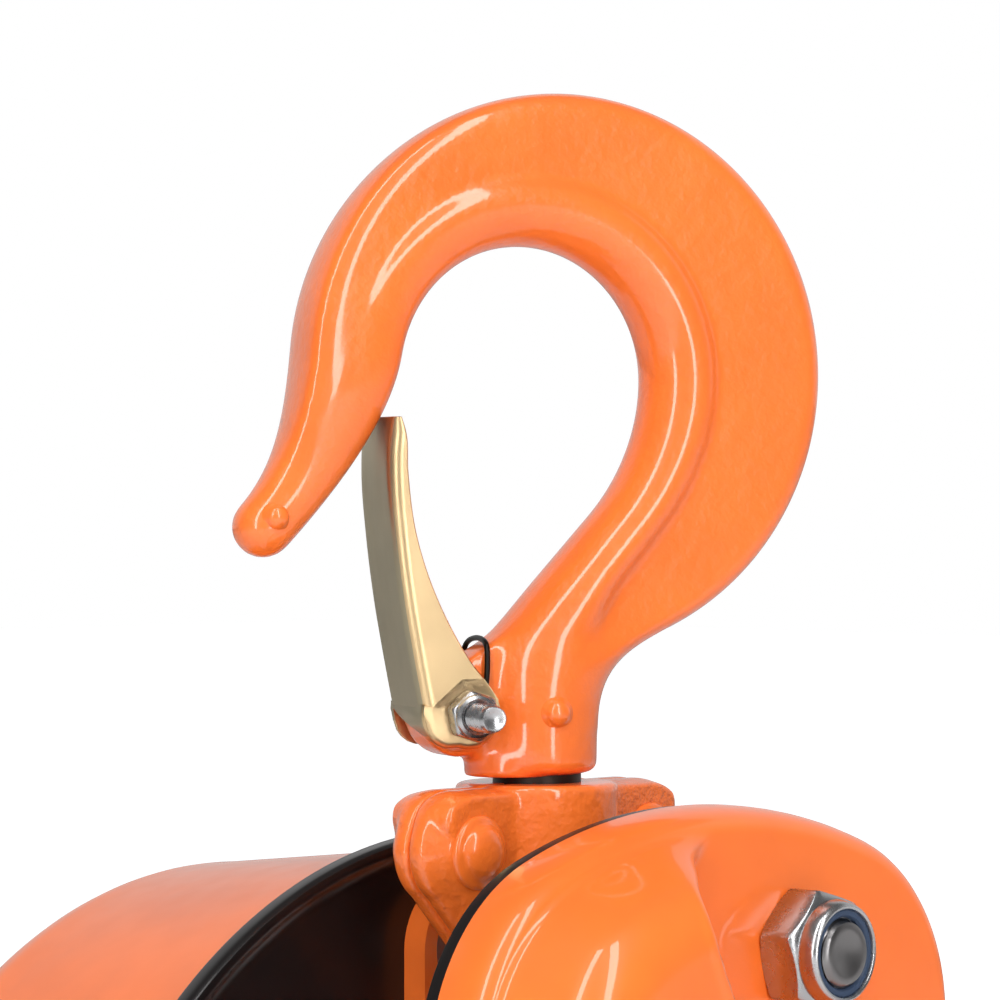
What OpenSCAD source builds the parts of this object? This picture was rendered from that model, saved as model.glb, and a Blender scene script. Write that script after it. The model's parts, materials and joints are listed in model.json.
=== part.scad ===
// Top of a manual chain hoist: swivelling safety-latch hook, forged two-half yoke and
// the hoist body with its load sheave, two-stage gear train, ratchet brake and hand wheel.
// Frame: origin on the swivel axis at the load seat of the hook bowl, +Z up,
// -Y towards the gear cover, +Y towards the hand wheel. Millimetres.

/* [Hook] */
// Inside diameter of the hook bowl
bowl_d = 46; // [42:1:54]
// Load seat down to the foot of the hook shank
hook_reach = 91.5; // [86:0.1:100]
// Depth of metal at the crown, above the bowl
crown_depth = 26.9; // [23:0.1:31]
// Depth of metal at the back of the bowl
back_depth = 33.5; // [30:0.5:38]
// Depth of metal where the tip arm leaves the bowl
arm_depth = 17.9; // [16:0.1:22]
// Thickness of the rounded inner bead
bead_t = 16; // [14:1:19]
// Thickness of the flat outer web
web_t = 10.4; // [8:0.2:13]
// Radial depth of the inner bead
bead_depth = 8; // [6:1:10]
// Radius of the ball at the tip
tip_r = 5.2; // [4.6:0.2:6.4]
// Diameter of the shank foot
shank_d = 20.8; // [18:0.2:24]
// Diameter of the swivel stem
stem_d = 15.4; // [13:0.2:15.8]
// Rest angle of the hook about the swivel axis
hook_yaw = -26; // [-40:1:0]

/* [Latch] */
// Sheet thickness of the latch
latch_t = 1.5; // [1.2:0.1:2]
// Outside width of the latch channel
latch_w = 17; // [16:0.5:20]
// Thickness of the hook lug inside the latch
lug_w = 10; // [8.5:0.5:11]
// Thread diameter of the latch bolt
latch_bolt_d = 5; // [4:0.5:6]
// Wire diameter of the latch spring
spring_wire = 1.2; // [0.9:0.1:1.4]

/* [Yoke] */
// Half thickness of the yoke at its lobes
yoke_half_t = 7; // [6:0.5:9]
// Distance of each lobe from the swivel axis
lobe_x = 25.5; // [24:0.5:30]
// Radius of the lobes
lobe_r = 9.5; // [8:0.5:11]
// Radius of the swivel barrel
barrel_r = 14.2; // [13.6:0.2:14.6]
// Diameter of the two yoke rivets
rivet_d = 8; // [6:0.5:10]
// Diameter of the suspension pin
pin_d = 14; // [12:0.5:17]

/* [Hoist body] */
// Shank foot down to the main shaft
shaft_drop = 106; // [102:1:116]
// Half width of the gear cover
cover_half_w = 64; // [61:1:74]
// Radius of the four cover corners
cover_corner_r = 28; // [27.5:0.5:36]
// Radius of the crowned top and bottom of the cover
cover_crown_r = 116; // [100:1:135]
// Gap between the shank foot and the top of the gear cover
cover_top_gap = 3.3; // [3:0.1:8]
// Sheet thickness of the gear cover
cover_wall = 2.5; // [2:0.5:3]
// Diameter of the hand wheel cover
wheel_cover_d = 187; // [178:1:200]
// Depth of the hand wheel cover
wheel_cover_depth = 71.5; // [62:0.5:84]
// Sheet thickness of the hand wheel cover
wheel_cover_t = 2; // [1.5:0.5:3]
// Thickness of the two side plates
side_plate_t = 5; // [4:0.5:6]
// Thickness of the two black case plates
case_plate_t = 3; // [2.5:0.5:4]
// Thread diameter of the stay bolts
stay_d = 12; // [10:1:12]

/* [Load sheave and hand wheel] */
// Wire diameter of the load chain that the sheave takes
chain_d = 6; // [5:0.5:6.5]
// Inside length of one load chain link
chain_pitch = 18; // [15:0.5:19]
// Number of pockets round the load sheave
sheave_pockets = 5; // [4:1:6]
// Number of pockets round the hand wheel
wheel_pockets = 8; // [6:1:9]
// Radial gap between the hand wheel and its cover
hand_wheel_gap = 7.2; // [5:0.2:14]

/* [Gears] */
// Module of all gears
gear_m = 1.25; // [1.1:0.05:1.25]
// Teeth on each pinion
pinion_z = 10; // [10:2:12]
// Teeth on each wheel
wheel_z = 38; // [34:2:38]
// Pressure angle
pressure_angle = 25; // [22:1:27]
// Teeth on the ratchet disc
ratchet_z = 16; // [12:2:20]

/* [Hidden] */
$fn = 64;

// Clearances
run_gap = 0.05;       // radial gap of a running bore
free_gap = 0.3;       // gap between parts that move past each other
backlash = 0.15;      // thinning of each gear tooth

// Colours
orange = [0.95, 0.42, 0.12];
gloss_black = [0.06, 0.06, 0.07];
bright_zinc = [0.78, 0.79, 0.80];
yellow_zinc = [0.86, 0.76, 0.50];
plain_steel = [0.55, 0.56, 0.58];
bronze = [0.72, 0.53, 0.28];
lining = [0.35, 0.28, 0.22];

// ---------------------------------------------------------------- helpers

function along(a) = [cos(a), sin(a)];
function lerp(a, b, t) = a + (b - a) * t;
function ease(t) = t <= 0 ? 0 : t >= 1 ? 1 : t * t * (3 - 2 * t);
function bezier(a, b, c, d, t) =
    pow(1 - t, 3) * a + 3 * t * pow(1 - t, 2) * b + 3 * t * t * (1 - t) * c + pow(t, 3) * d;
function arc(centre, r, from, to, n) =
    [for (i = [0 : n]) centre + r * along(lerp(from, to, i / n))];
// The same arc without its last point, where the next arc starts on it
function open_arc(centre, r, from, to, n) =
    [for (i = [0 : n - 1]) centre + r * along(lerp(from, to, i / n))];

// Everything below the hook is measured down from the foot of the shank
module from_foot() { translate([0, 0, -hook_reach]) children(); }

// Hook plane: X across the bowl, Y normal to it, turned to its rest angle
module in_hook() { rotate([0, 0, hook_yaw]) from_foot() children(); }

// Extrudes an X-Z outline from y0 to y1
module slab(y0, y1) { translate([0, y1, 0]) rotate([90, 0, 0]) linear_extrude(y1 - y0) children(); }

// Rod along Y
module rod(r, y0, y1, at = [0, 0]) {
    translate([at[0], y1, at[1]]) rotate([90, 0, 0]) cylinder(r = r, h = y1 - y0);
}

// Ring along Y
module tube(ro, ri, y0, y1, at = [0, 0]) {
    difference() {
        rod(ro, y0, y1, at);
        rod(ri, y0 - 1, y1 + 1, at);
    }
}

// Hexagonal prism along Y, measured across its flats
module hex(flats, y0, y1, at = [0, 0], turn = 0) {
    translate([at[0], y1, at[1]]) rotate([90, 0, 0]) rotate(turn)
        cylinder(d = flats / cos(30), h = y1 - y0, $fn = 6);
}

// Closes a stack of equal rings of points into a solid
module loft(rings) {
    n = len(rings[0]);
    m = len(rings);
    points = [for (r = rings) each r];
    sides = [for (i = [0 : m - 2], j = [0 : n - 1])
        [i * n + j, i * n + (j + 1) % n, (i + 1) * n + (j + 1) % n, (i + 1) * n + j]];
    first = [[for (j = [n - 1 : -1 : 0]) j]];
    last = [[for (j = [0 : n - 1]) (m - 1) * n + j]];
    polyhedron(points, concat(first, sides, last), convexity = 6);
}

function at_y(ring, y) = [for (p = ring) [p[0], y, p[1]]];

// Sweeps a round wire along points
function unit(v) = v / norm(v);
function tangent(p, i) = unit(p[min(i + 1, len(p) - 1)] - p[max(i - 1, 0)]);
function frame_u(p, i, prev) = unit(prev - (prev * tangent(p, i)) * tangent(p, i));
function frames(p, i, prev) = i == len(p) ? [] :
    let (u = frame_u(p, i, prev)) concat([u], frames(p, i + 1, u));
module wire(p, r, side, sides = 8) {
    us = frames(p, 0, side);
    loft([for (i = [0 : len(p) - 1]) let (t = tangent(p, i), u = us[i], v = cross(t, u))
        [for (k = [0 : sides - 1]) p[i] + r * (cos(360 * k / sides) * u + sin(360 * k / sides) * v)]]);
}

// ---------------------------------------------------------------- hook

bowl_r = bowl_d / 2;
outer_r = bowl_r + (back_depth + arm_depth) / 2;
bowl_x = -3.2;
bowl_c = [bowl_x, hook_reach - sqrt(bowl_r * bowl_r - bowl_x * bowl_x)];
outer_c = bowl_c + [(back_depth - arm_depth) / 2, bowl_r + crown_depth - outer_r];
tip_lean = 42.9;                                // lean of the tip arm from vertical
tip_dir = [-sin(tip_lean), -cos(tip_lean)];
tip_side = [cos(tip_lean), -sin(tip_lean)];
tip_c = bowl_c + bowl_r * [-2.036, -1.11];
neck_lean = 42.2;                               // lean of the straight inner edge
neck_dir = [-sin(neck_lean), -cos(neck_lean)];
neck_top = bowl_c + bowl_r * [0.591, -1.02];
shank_r = shank_d / 2;
blend_z = 26;                                   // height where the shank starts to open out
neck_low = neck_top + neck_dir * (neck_top[1] - blend_z) / cos(neck_lean);
shank_in_z = 8;                                 // the sweep ends inside the turned foot
arm_from = 170;                                 // bowl angle where the arm starts
back_to = -64.8;                                // outer angle where the back ends

function arm_in(t) = let (p = bowl_c + bowl_r * along(arm_from), q = tip_c + tip_r * tip_side)
    bezier(p, p + 10 * along(arm_from + 90), q - 16.4 * tip_dir, q, t);
function arm_out(t) = let (p = outer_c + outer_r * along(arm_from + 5), q = tip_c - tip_r * tip_side)
    bezier(p, p + 12.3 * along(arm_from + 95), q - 8.8 * tip_dir, q, t);
function neck_in(t) = let (p = bowl_c + [bowl_r, 0], q = [-shank_r, shank_in_z])
    t < 0.35 ? bezier(p, p - [0, 9], neck_top - 8 * neck_dir, neck_top, t / 0.35)
    : t < 0.7 ? lerp(neck_top, neck_low, (t - 0.35) / 0.35)
    : bezier(neck_low, neck_low + 6 * neck_dir, q + [0, 9], q, (t - 0.7) / 0.3);
function neck_out(t) = let (p = outer_c + outer_r * along(back_to), q = [shank_r, shank_in_z])
    t < 0.62 ? outer_c + outer_r * along(back_to * t / 0.62)
    : bezier(p, p + 10.2 * along(back_to - 90), q + [0, 11], q, (t - 0.62) / 0.38);

// Half section of the rounded arm, as [depth, half thickness]
function round_side(w, t, k) = let (a = 15 * k) [w / 2 * (1 - cos(a)), t * pow(sin(a), 0.85)];
// Half section of bead and web
function bead_side(w, t, k) =
    k < 6 ? [bead_depth * (1 - cos(18 * k)), t * sin(18 * k)]
    : k < 9 ? let (f = (k - 5) / 3.4)
        [bead_depth + 7 * f, web_t / 2 + (t - web_t / 2) * (1 + cos(180 * min(f, 1))) / 2]
    : let (a = 30 * (k - 9)) [w - 4 * (1 - sin(a)), web_t / 2 * cos(a)];
// A station is [inner point, outer point, half thickness, share of bead section]
function section(s) = let (
        w = norm(s[1] - s[0]),
        e = (s[1] - s[0]) / w,
        side = [for (k = [0 : 12]) lerp(round_side(w, s[2], k), bead_side(w, s[2], k), s[3])])
    concat(
        [for (k = [0 : 12]) let (q = s[0] + e * side[k][0]) [q[0], -side[k][1], q[1]]],
        [for (k = [11 : -1 : 1]) let (q = s[0] + e * side[k][0]) [q[0], side[k][1], q[1]]]);

arm_t = 8.2;
tip_stations = [for (a = [75, 50, 25])
    let (c = tip_c + tip_r * sin(a) * tip_dir, r = tip_r * cos(a))
    [c + r * tip_side, c - r * tip_side, r, 0]];
arm_stations = [for (i = [10 : -1 : 1]) let (t = i / 10)
    [arm_in(t), arm_out(t), lerp(arm_t, tip_r, ease(t)), 0]];
bowl_stations = [for (i = [0 : 16]) let (a = lerp(arm_from, 0, i / 16))
    [bowl_c + bowl_r * along(a), outer_c + outer_r * along(a + 5 * (1 - i / 16)),
        lerp(arm_t, bead_t / 2, i / 16), ease((150 - a) / 90)]];
neck_stations = [for (i = [1 : 18]) let (t = i / 18)
    [neck_in(t), neck_out(t), lerp(bead_t / 2, shank_r - 0.3, ease(t * 1.2 - 0.2)),
        1 - ease((t - 0.5) / 0.35)]];

pivot = [-15.6, 10.9];                          // latch pivot in the hook plane
lug_r = 7.3;

// Forged body of the hook with its turned stem
module top_hook() {
    color(orange) in_hook() {
        difference() {
            union() {
                loft([for (s = concat(tip_stations, arm_stations, bowl_stations, neck_stations))
                    section(s)]);
                cylinder(r = shank_r + 0.3, h = shank_in_z + 3);
                translate([-5, 0, 0]) cylinder(r = shank_r - 2.4, h = 5);
                slab(-lug_w / 2, lug_w / 2) lug_outline();
                hook_pips();
            }
            rod(latch_bolt_d / 2 + run_gap, -20, 20, pivot);
        }
        translate([0, 0, collar_z0 - 2]) cylinder(d = stem_d, h = 2.5 - collar_z0);
        translate([0, 0, collar_z1]) cylinder(r = collar_r, h = collar_z0 - collar_z1);
    }
}

module lug_outline() {
    translate(pivot) circle(lug_r);
    polygon([pivot + lug_r * along(118), [-6, blend_z], [-2, blend_z], [-2, 0], [-12, 0],
        pivot + lug_r * along(262)]);
}

// Two small locating pips left by the forging dies
module hook_pips() {
    for (p = [[3.2, 11.4, shank_r - 1.2], [tip_c[0] + 6.9, tip_c[1] + 2.5, tip_r - 0.7]])
        translate([p[0], -p[2], p[1]]) rotate([90, 0, 0]) sphere(r = 2.5, $fn = 24);
}

// ---------------------------------------------------------------- latch

latch_top = hook_reach - 29.5;
flange_r = 5.7;
// Outer edge of the latch, from below the pivot up, and the free edge of its flanges
latch_web = [[-18.2, 5.2], [-21.5, 5.9], [-23.2, 7.8], [-24.1, 11.5], [-25.9, 20.5],
    [-27.8, 31.2], [-29.2, 42], [-30, 52.7], [-29.9, latch_top - 5], [-29.2, latch_top]];
latch_back = [[-27.4, latch_top], [-26.7, 52.7], [-25.2, 42], [-21.5, 31.2], [-15.6, 20.5]];

// Side profile of the latch, from y0 to y1
module latch_blank(y0, y1) {
    rod(flange_r, y0, y1, pivot);
    slab(y0, y1) polygon(concat(latch_web, latch_back,
        [pivot + flange_r * along(30), pivot]));
}

module latch() {
    color(yellow_zinc) in_hook() {
        difference() {
            latch_blank(-latch_w / 2, latch_w / 2);
            translate([latch_t, 0, 0]) latch_blank(-latch_w / 2 + latch_t, latch_w / 2 - latch_t);
            slab(-latch_w / 2 + latch_t, latch_w / 2 - latch_t)
                polygon([[-22.5, 2], [-22.5, latch_top + 4], [0, latch_top + 4], [0, 2]]);
            rod(latch_bolt_d / 2 + run_gap, -20, 20, pivot);
            slab(-latch_w / 2 + latch_t, latch_w / 2 - latch_t)
                translate([-30, 0]) square([16, pivot[1] + 2.2]);
        }
    }
}

nut_h = 4.2;
module latch_bolt() {
    color(bright_zinc) in_hook() {
        rod(latch_bolt_d / 2, -latch_w / 2 - nut_h - 7.5, latch_w / 2, pivot);
        hex(1.6 * latch_bolt_d, latch_w / 2, latch_w / 2 + 3.5, pivot);
    }
}

module latch_nut() {
    color(bright_zinc) in_hook() difference() {
        union() {
            hex(1.6 * latch_bolt_d, -latch_w / 2 - nut_h + 1, -latch_w / 2, pivot, 12);
            rod(0.76 * latch_bolt_d, -latch_w / 2 - nut_h, -latch_w / 2, pivot);
        }
        rod(latch_bolt_d / 2, -40, 0, pivot);
    }
}

// Double torsion spring: two coils on the bolt joined by a loop against the neck
coil_r = latch_bolt_d / 2 + spring_wire / 2 + 0.25;
coil_y = lug_w / 2 + spring_wire / 2 + 0.1;
function coil_point(a, y) = [pivot[0] + coil_r * cos(a), y, pivot[1] + coil_r * sin(a)];
spring_path = concat(
    [[-24.6, -coil_y, 28], [-22.6, -coil_y, 21]],
    [for (a = [200 : 30 : 380]) coil_point(a, -coil_y)],
    [[-11.6, -coil_y - 0.5, 16.5], [-11.5, -coil_y - 0.4, 21], [-11.3, -5.5, 23.3],
        [-11.1, -3.4, 24.2], [-11, 0, 24.6]]);
module latch_spring() {
    mirrored = [for (i = [len(spring_path) - 2 : -1 : 0]) let (p = spring_path[i]) [p[0], -p[1], p[2]]];
    color(gloss_black) in_hook() wire(concat(spring_path, mirrored), spring_wire / 2, [0, 1, 0]);
}

// ---------------------------------------------------------------- yoke

foot_gap = 1;                                   // shank foot to the yoke
lobe_z = -11.7;
pin_z = -31;                                    // suspension pin
yoke_boss_r = pin_d / 2 + 6;
collar_z0 = -8;
collar_z1 = -16;
collar_r = stem_d / 2 + 3;
cavity_r = collar_r + free_gap;
barrel_z = collar_z1 - 3.5;                     // underside of the swivel barrel

// Yoke outline drawn in by d, as arcs and tangents
function yoke_ring(d) = concat(
    arc([lobe_x, lobe_z], lobe_r - d, -v_angle, 85, 8),
    arc([-lobe_x, lobe_z], lobe_r - d, 95, 180 + v_angle, 8),
    arc([0, pin_z], yoke_boss_r - d, 180 + v_angle, 360 - v_angle, 8));
// Angle of the tangent normal below the horizontal
v_angle = let (d = [-lobe_x, lobe_z - pin_z], l = norm(d))
    90 - (atan2(d[1], -d[0]) - asin((yoke_boss_r - lobe_r) / l));

// One forged half; face is -1 for the front half and +1 for the rear half
module yoke_half(face) {
    edge = 5;
    rows = fillet_rows(0, yoke_half_t, edge, 4);
    difference() {
        union() {
            front_or_back(face) loft([for (r = rows) at_y(yoke_ring(r[1]), r[0])]);
            intersection() {
                translate([0, 0, barrel_z]) cylinder(r = barrel_r, h = -foot_gap - barrel_z);
                translate([-40, face < 0 ? -40 : 0, -60]) cube([80, 40, 60]);
            }
        }
        translate([0, 0, collar_z1 - free_gap])
            cylinder(r = cavity_r, h = collar_z0 - collar_z1 + 2 * free_gap);
        translate([0, 0, collar_z1]) cylinder(r = stem_d / 2 + free_gap, h = 40);
        rod(pin_d / 2 + run_gap, -40, 40, [0, pin_z]);
        for (s = [-1, 1]) rod(rivet_d / 2, -40, 40, [s * lobe_x, lobe_z]);
    }
}
module front_or_back(face) { if (face < 0) children(); else mirror([0, 1, 0]) children(); }

module yoke_front_half() { color(orange) from_foot() yoke_half(-1); }
module yoke_rear_half() { color(orange) from_foot() yoke_half(1); }

module yoke_rivets() {
    head = 0.78 * rivet_d;
    color(orange) from_foot() for (s = [-1, 1]) {
        rod(rivet_d / 2, -yoke_half_t, yoke_half_t, [s * lobe_x, lobe_z]);
        for (f = [-1, 1]) translate([s * lobe_x, f * yoke_half_t, lobe_z]) rotate([-90 * f, 0, 0])
            rotate_extrude() polygon(concat([[0, 0], [head, 0], [head, 0.9]],
                [for (a = [15 : 15 : 75]) [(head - 0.8) * cos(a), 1 + 2.6 * sin(a)]], [[0, 3.6]]));
    }
}

// ---------------------------------------------------------------- hoist frame

plate_front_y = -26;                            // inner face of the gear side plate
plate_rear_y = 15;                              // inner face of the wheel side plate
front_outer = plate_front_y - side_plate_t;
rear_outer = plate_rear_y + side_plate_t;
case_front = front_outer - case_plate_t;        // flange plane of the gear cover
case_rear = rear_outer + case_plate_t;          // flange plane of the wheel cover
shaft_z = -shaft_drop;
sheave_c = [0, shaft_z];

// Load sheave sized from the chain: links lie flat and on edge in turn
link_w = 3.4 * chain_d;                         // outside width of a chain link
pocket_step = 360 / sheave_pockets;
sheave_pitch_r = norm([chain_pitch / sin(pocket_step / 4), chain_d / cos(pocket_step / 4)]) / 2;
sheave_rim_r = sheave_pitch_r + chain_d * 0.75;
sheave_w = link_w + 3.4;
shaft_r = 4.8 * gear_m;                          // slimmer shafts inside finer gears
bearing_bore = 24 * gear_m;
bearing_od = bearing_bore + 12;
bearing_w = 7;
journal_r = bearing_bore / 2;

module suspension_pin() {
    color(plain_steel) from_foot() rod(pin_d / 2, front_outer, rear_outer, [0, pin_z]);
}

module pin_spacers() {
    color(plain_steel) from_foot() {
        tube(pin_d / 2 + 2.5, pin_d / 2 + run_gap, plate_front_y, -yoke_half_t - free_gap, [0, pin_z]);
        tube(pin_d / 2 + 2.5, pin_d / 2 + run_gap, yoke_half_t + free_gap, plate_rear_y, [0, pin_z]);
    }
}

// Two stay bolts tie the side plates; two short studs, near the ends of the cover, hold it only
function opposite(p) = [-p[0], 2 * shaft_z - p[1]];
stays = [[46, shaft_z + 18], opposite([46, shaft_z + 18])];
stud = [pin_d / 2 + 10.5, pin_z + 2.5];          // clear of the spacers on the suspension pin
studs = [stud, opposite(stud)];
cover_holes = concat(stays, studs);
corner_x = cover_half_w - cover_corner_r;
crown_c = -cover_top_gap - cover_crown_r;
crown_a = acos(corner_x / (cover_crown_r - cover_corner_r));
corner_z = crown_c + (cover_crown_r - cover_corner_r) * sin(crown_a);
low_corner_z = 2 * shaft_z - corner_z;
low_crown_c = 2 * shaft_z - crown_c;

// Gear dome: just wider than the large gears, its ends fitted into two corners of the cover
wheel_tip_r = gear_m * (wheel_z / 2 + 0.85);
dome_r = wheel_tip_r + cover_wall + 0.7;
dome_fit_r = max(dome_r, cover_corner_r);
dome_x = cover_half_w - dome_fit_r;
dome_a = [-dome_x, crown_c + sqrt(pow(cover_crown_r - dome_fit_r, 2) - dome_x * dome_x)];
dome_b = opposite(dome_a);
dome_axis = atan2(dome_b[1] - dome_a[1], dome_b[0] - dome_a[0]);

// Gear cover outline drawn in by d
function cover_ring(d, n = 7) = concat(
    open_arc([corner_x, corner_z], cover_corner_r - d, 0, crown_a, n),
    open_arc([0, crown_c], cover_crown_r - d, crown_a, 180 - crown_a, n),
    arc([-corner_x, corner_z], cover_corner_r - d, 180 - crown_a, 180, n),
    open_arc([-corner_x, low_corner_z], cover_corner_r - d, 180, 180 + crown_a, n),
    open_arc([0, low_crown_c], cover_crown_r - d, 180 + crown_a, 360 - crown_a, n),
    arc([corner_x, low_corner_z], cover_corner_r - d, 360 - crown_a, 360, n));

// Pins across the plates: two chain guides, the stripper and the chain anchor
guide_x = sheave_pitch_r + link_w / 2 + 7.5;
guide_z = shaft_z - 44;
guide_pin_r = 4;
anchor = [0, shaft_z + 25.5 - wheel_cover_d / 2];
stripper_z = shaft_z - 44;
cross_pins = [[-guide_x, guide_z], [guide_x, guide_z], [0, stripper_z], anchor];

suspension_r = pin_d / 2 + 5.5;

// Side plate outline: straight suspension lug, broad middle and a narrower foot
module side_plate_outline(half_w, foot_z) {
    polygon([[-suspension_r, pin_z], [suspension_r, pin_z], [suspension_r, -56], [half_w, -68],
        [half_w, shaft_z - 42], [30, foot_z], [-30, foot_z], [-half_w, shaft_z - 42],
        [-half_w, -68], [-suspension_r, -56]]);
}

module side_plate(y0, foot_z) {
    y1 = y0 + side_plate_t;
    difference() {
        union() {
            slab(y0, y1) side_plate_outline(cover_half_w - 6, foot_z);
            rod(suspension_r, y0, y1, [0, pin_z]);
            children();
        }
        rod(pin_d / 2, y0 - 1, y1 + 1, [0, pin_z]);
        rod(bearing_od / 2, y0 - 1, y1 + 1, sheave_c);
        for (s = stays) rod(stay_d / 2, y0 - 1, y1 + 1, s);
        for (p = cross_pins) rod(guide_pin_r, y0 - 1, y1 + 1, p);
    }
}

idler_dist = gear_m * (pinion_z + wheel_z) / 2;
idler_angle = dome_axis + 180;
idlers = [sheave_c + idler_dist * along(idler_angle), sheave_c - idler_dist * along(idler_angle)];
idler_journal_r = 3.6 * gear_m;
bush_t = 1.6 * gear_m;

module gear_side_plate() {
    ear_r = stay_d / 2 + 6;
    color(orange) from_foot() difference() {
        side_plate(front_outer, min(anchor[1] - 12, studs[1][1] - 2.5))
            for (s = studs) rod(ear_r, front_outer, plate_front_y, s);
        for (s = studs) rod(stay_d / 2, front_outer - 1, plate_front_y + 1, s);
        for (c = idlers) rod(idler_journal_r + bush_t, front_outer - 1, plate_front_y + 1, c);
    }
}
module wheel_side_plate() {
    color(orange) from_foot() difference() {
        side_plate(plate_rear_y, anchor[1] - 12);
        for (c = pawl_pivots) rod(pawl_pin_r, plate_rear_y - 1, rear_outer + 1, c);
    }
}

// Stay bolts: a shouldered spacer between the plates and a stud to each side
nut_y = -43.5;                                   // pad that the cover nuts sit on
stud_end = nut_y - 11.5;
nyloc_flats = 19;
module stay_bolts() {
    color(plain_steel) from_foot() for (s = stays) {
        rod(stay_d / 2, stud_end, case_rear + 9, s);
        rod(stay_d / 2 + 3, plate_front_y, plate_rear_y, s);
    }
}

module stay_nuts() {
    color(bright_zinc) from_foot() for (s = stays) difference() {
        hex(nyloc_flats, case_rear, case_rear + 7.5, s, 14);
        rod(stay_d / 2, case_rear - 1, case_rear + 20, s);
    }
}

module cover_studs() {
    color(plain_steel) from_foot() for (s = studs) {
        rod(stay_d / 2, stud_end, plate_front_y, s);
        rod(stay_d / 2 + 1.2, plate_front_y, plate_front_y + 2, s);
    }
}

module gear_case_plate() {
    color(gloss_black) from_foot() difference() {
        slab(case_front, front_outer) polygon(cover_ring(0, 9));
        rod(bearing_bore / 2 + 1.5, case_front - 1, front_outer + 1, sheave_c);
        for (s = cover_holes) rod(stay_d / 2, case_front - 1, front_outer + 1, s);
        for (c = idlers) rod(idler_journal_r + bush_t, case_front - 1, front_outer + 1, c);
    }
}

// ---------------------------------------------------------------- gear cover

pad_h = case_front - nut_y;                     // flange plane to nut pad
pad_edge = 9;
dome_h = 12;                                    // pad to the top of the gear dome
dome_edge = 7;
dome_front = nut_y - dome_h;
bush_front = dome_front + 0.8;                  // blind end of the bush pockets in the cover

// Slanted stadium over the two idlers and the load gear, drawn in by d
function dome_ring(d, n = 14) = concat(
    arc(dome_b, dome_r - d, dome_axis - 90, dome_axis + 90, n),
    arc(dome_a, dome_r - d, dome_axis + 90, dome_axis + 270, n));

// Rows of a domed wall from its rounded front edge back to y0, as [y, inset]
function fillet_rows(y0, h, r, n = 6) = concat(
    [for (i = [n : -1 : 1]) let (a = 90 * i / n) [y0 - h + r - r * sin(a), r * (1 - cos(a))]],
    [[y0 - h + r, 0], [y0, 0]]);

module gear_cover() {
    color(orange) from_foot() difference() {
        union() {
            loft([for (r = fillet_rows(case_front, pad_h, pad_edge)) at_y(cover_ring(r[1]), r[0])]);
            loft([for (r = fillet_rows(case_front - 1, pad_h + dome_h - 1, dome_edge))
                at_y(dome_ring(r[1] + 0.4), r[0])]);
            for (c = idlers) rod(9, dome_front - 1.5, dome_front + 2, c);
            rod(11, dome_front - 1.5, dome_front + 2, sheave_c);
        }
        slab(nut_y + cover_wall, case_front + 1) polygon(cover_ring(cover_wall + 3));
        slab(dome_front + cover_wall, case_front + 1) polygon(dome_ring(cover_wall + 0.2));
        for (s = cover_holes) rod(stay_d / 2 + 0.3, nut_y - 20, case_front, s);
        for (c = idlers) rod(idler_journal_r + bush_t, bush_front, case_front, c);
        rod(idler_journal_r + run_gap, bush_front, case_front, sheave_c);
    }
    color(orange) from_foot() {
        for (c = idlers) tube(idler_journal_r + bush_t + 2.5, idler_journal_r + bush_t,
            dome_front + cover_wall - 0.2, wheel_y0 - free_gap, c);
        for (s = cover_holes) tube(stay_d / 2 + 3.5, stay_d / 2 + 0.3, nut_y + 0.5, case_front, s);
    }
}

module gear_cover_nuts() {
    collar_r = 8.6;
    color(bright_zinc) from_foot() for (s = cover_holes) difference() {
        union() {
            hex(nyloc_flats, nut_y - 8, nut_y, s, 14);
            rod(collar_r, nut_y - 11.2, nut_y - 7.5, s);
        }
        rod(stay_d / 2, nut_y - 20, nut_y + 1, s);
    }
}

// ---------------------------------------------------------------- gears

root_step = 16;       // degrees of root land beside each flank, times the tooth count
function inv_angle(r, rb) = let (q = acos(min(1, rb / r))) tan(q) * 180 / PI - q;
// Involute gear outline; n flank points on each side of a tooth
function gear_outline(z, n = 4) = let (
        rp = gear_m * z / 2,
        rb = rp * cos(pressure_angle),
        ra = rp + 0.85 * gear_m,
        rf = rp - 1.15 * gear_m,
        r0 = max(rb, rf + 0.2),
        half = 90 / z - backlash / 2 / rp * 180 / PI + inv_angle(rp, rb))
    [for (i = [0 : z - 1]) let (c = 360 * i / z) each concat(
        [rf * along(c - half - root_step / z)],
        [for (k = [0 : n]) let (r = lerp(r0, ra, k / n)) r * along(c - half + inv_angle(r, rb))],
        [for (k = [n : -1 : 0]) let (r = lerp(r0, ra, k / n)) r * along(c + half - inv_angle(r, rb))],
        [rf * along(c + half + root_step / z)])];

// Gear layers, from the case plate out
load_y1 = case_front - 1.5;
load_y0 = load_y1 - 7.5;
wheel_y1 = load_y0 - 2.6;
wheel_y0 = wheel_y1 - 6;
pinion_root = gear_m * pinion_z / 2 - 1.15 * gear_m;
spline_r = 10.4 * gear_m;

module load_gear() {
    color(plain_steel) from_foot() difference() {
        slab(load_y0, load_y1) translate(sheave_c) rotate(idler_angle + 180 / wheel_z)
            polygon(gear_outline(wheel_z));
        slab(load_y0 - 1, load_y1 + 1) translate(sheave_c) spline_outline(0);
        for (a = [0 : 60 : 300]) rod(1.92 * gear_m, load_y0 - 1, load_y1 + 1,
            sheave_c + 14.56 * gear_m * along(a));
    }
}

module spline_outline(grow) {
    circle(spline_r - 1.5 + grow);
    for (a = [0 : 30 : 330]) rotate(a) translate([0, -1.5]) square([spline_r + grow, 3]);
}

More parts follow.
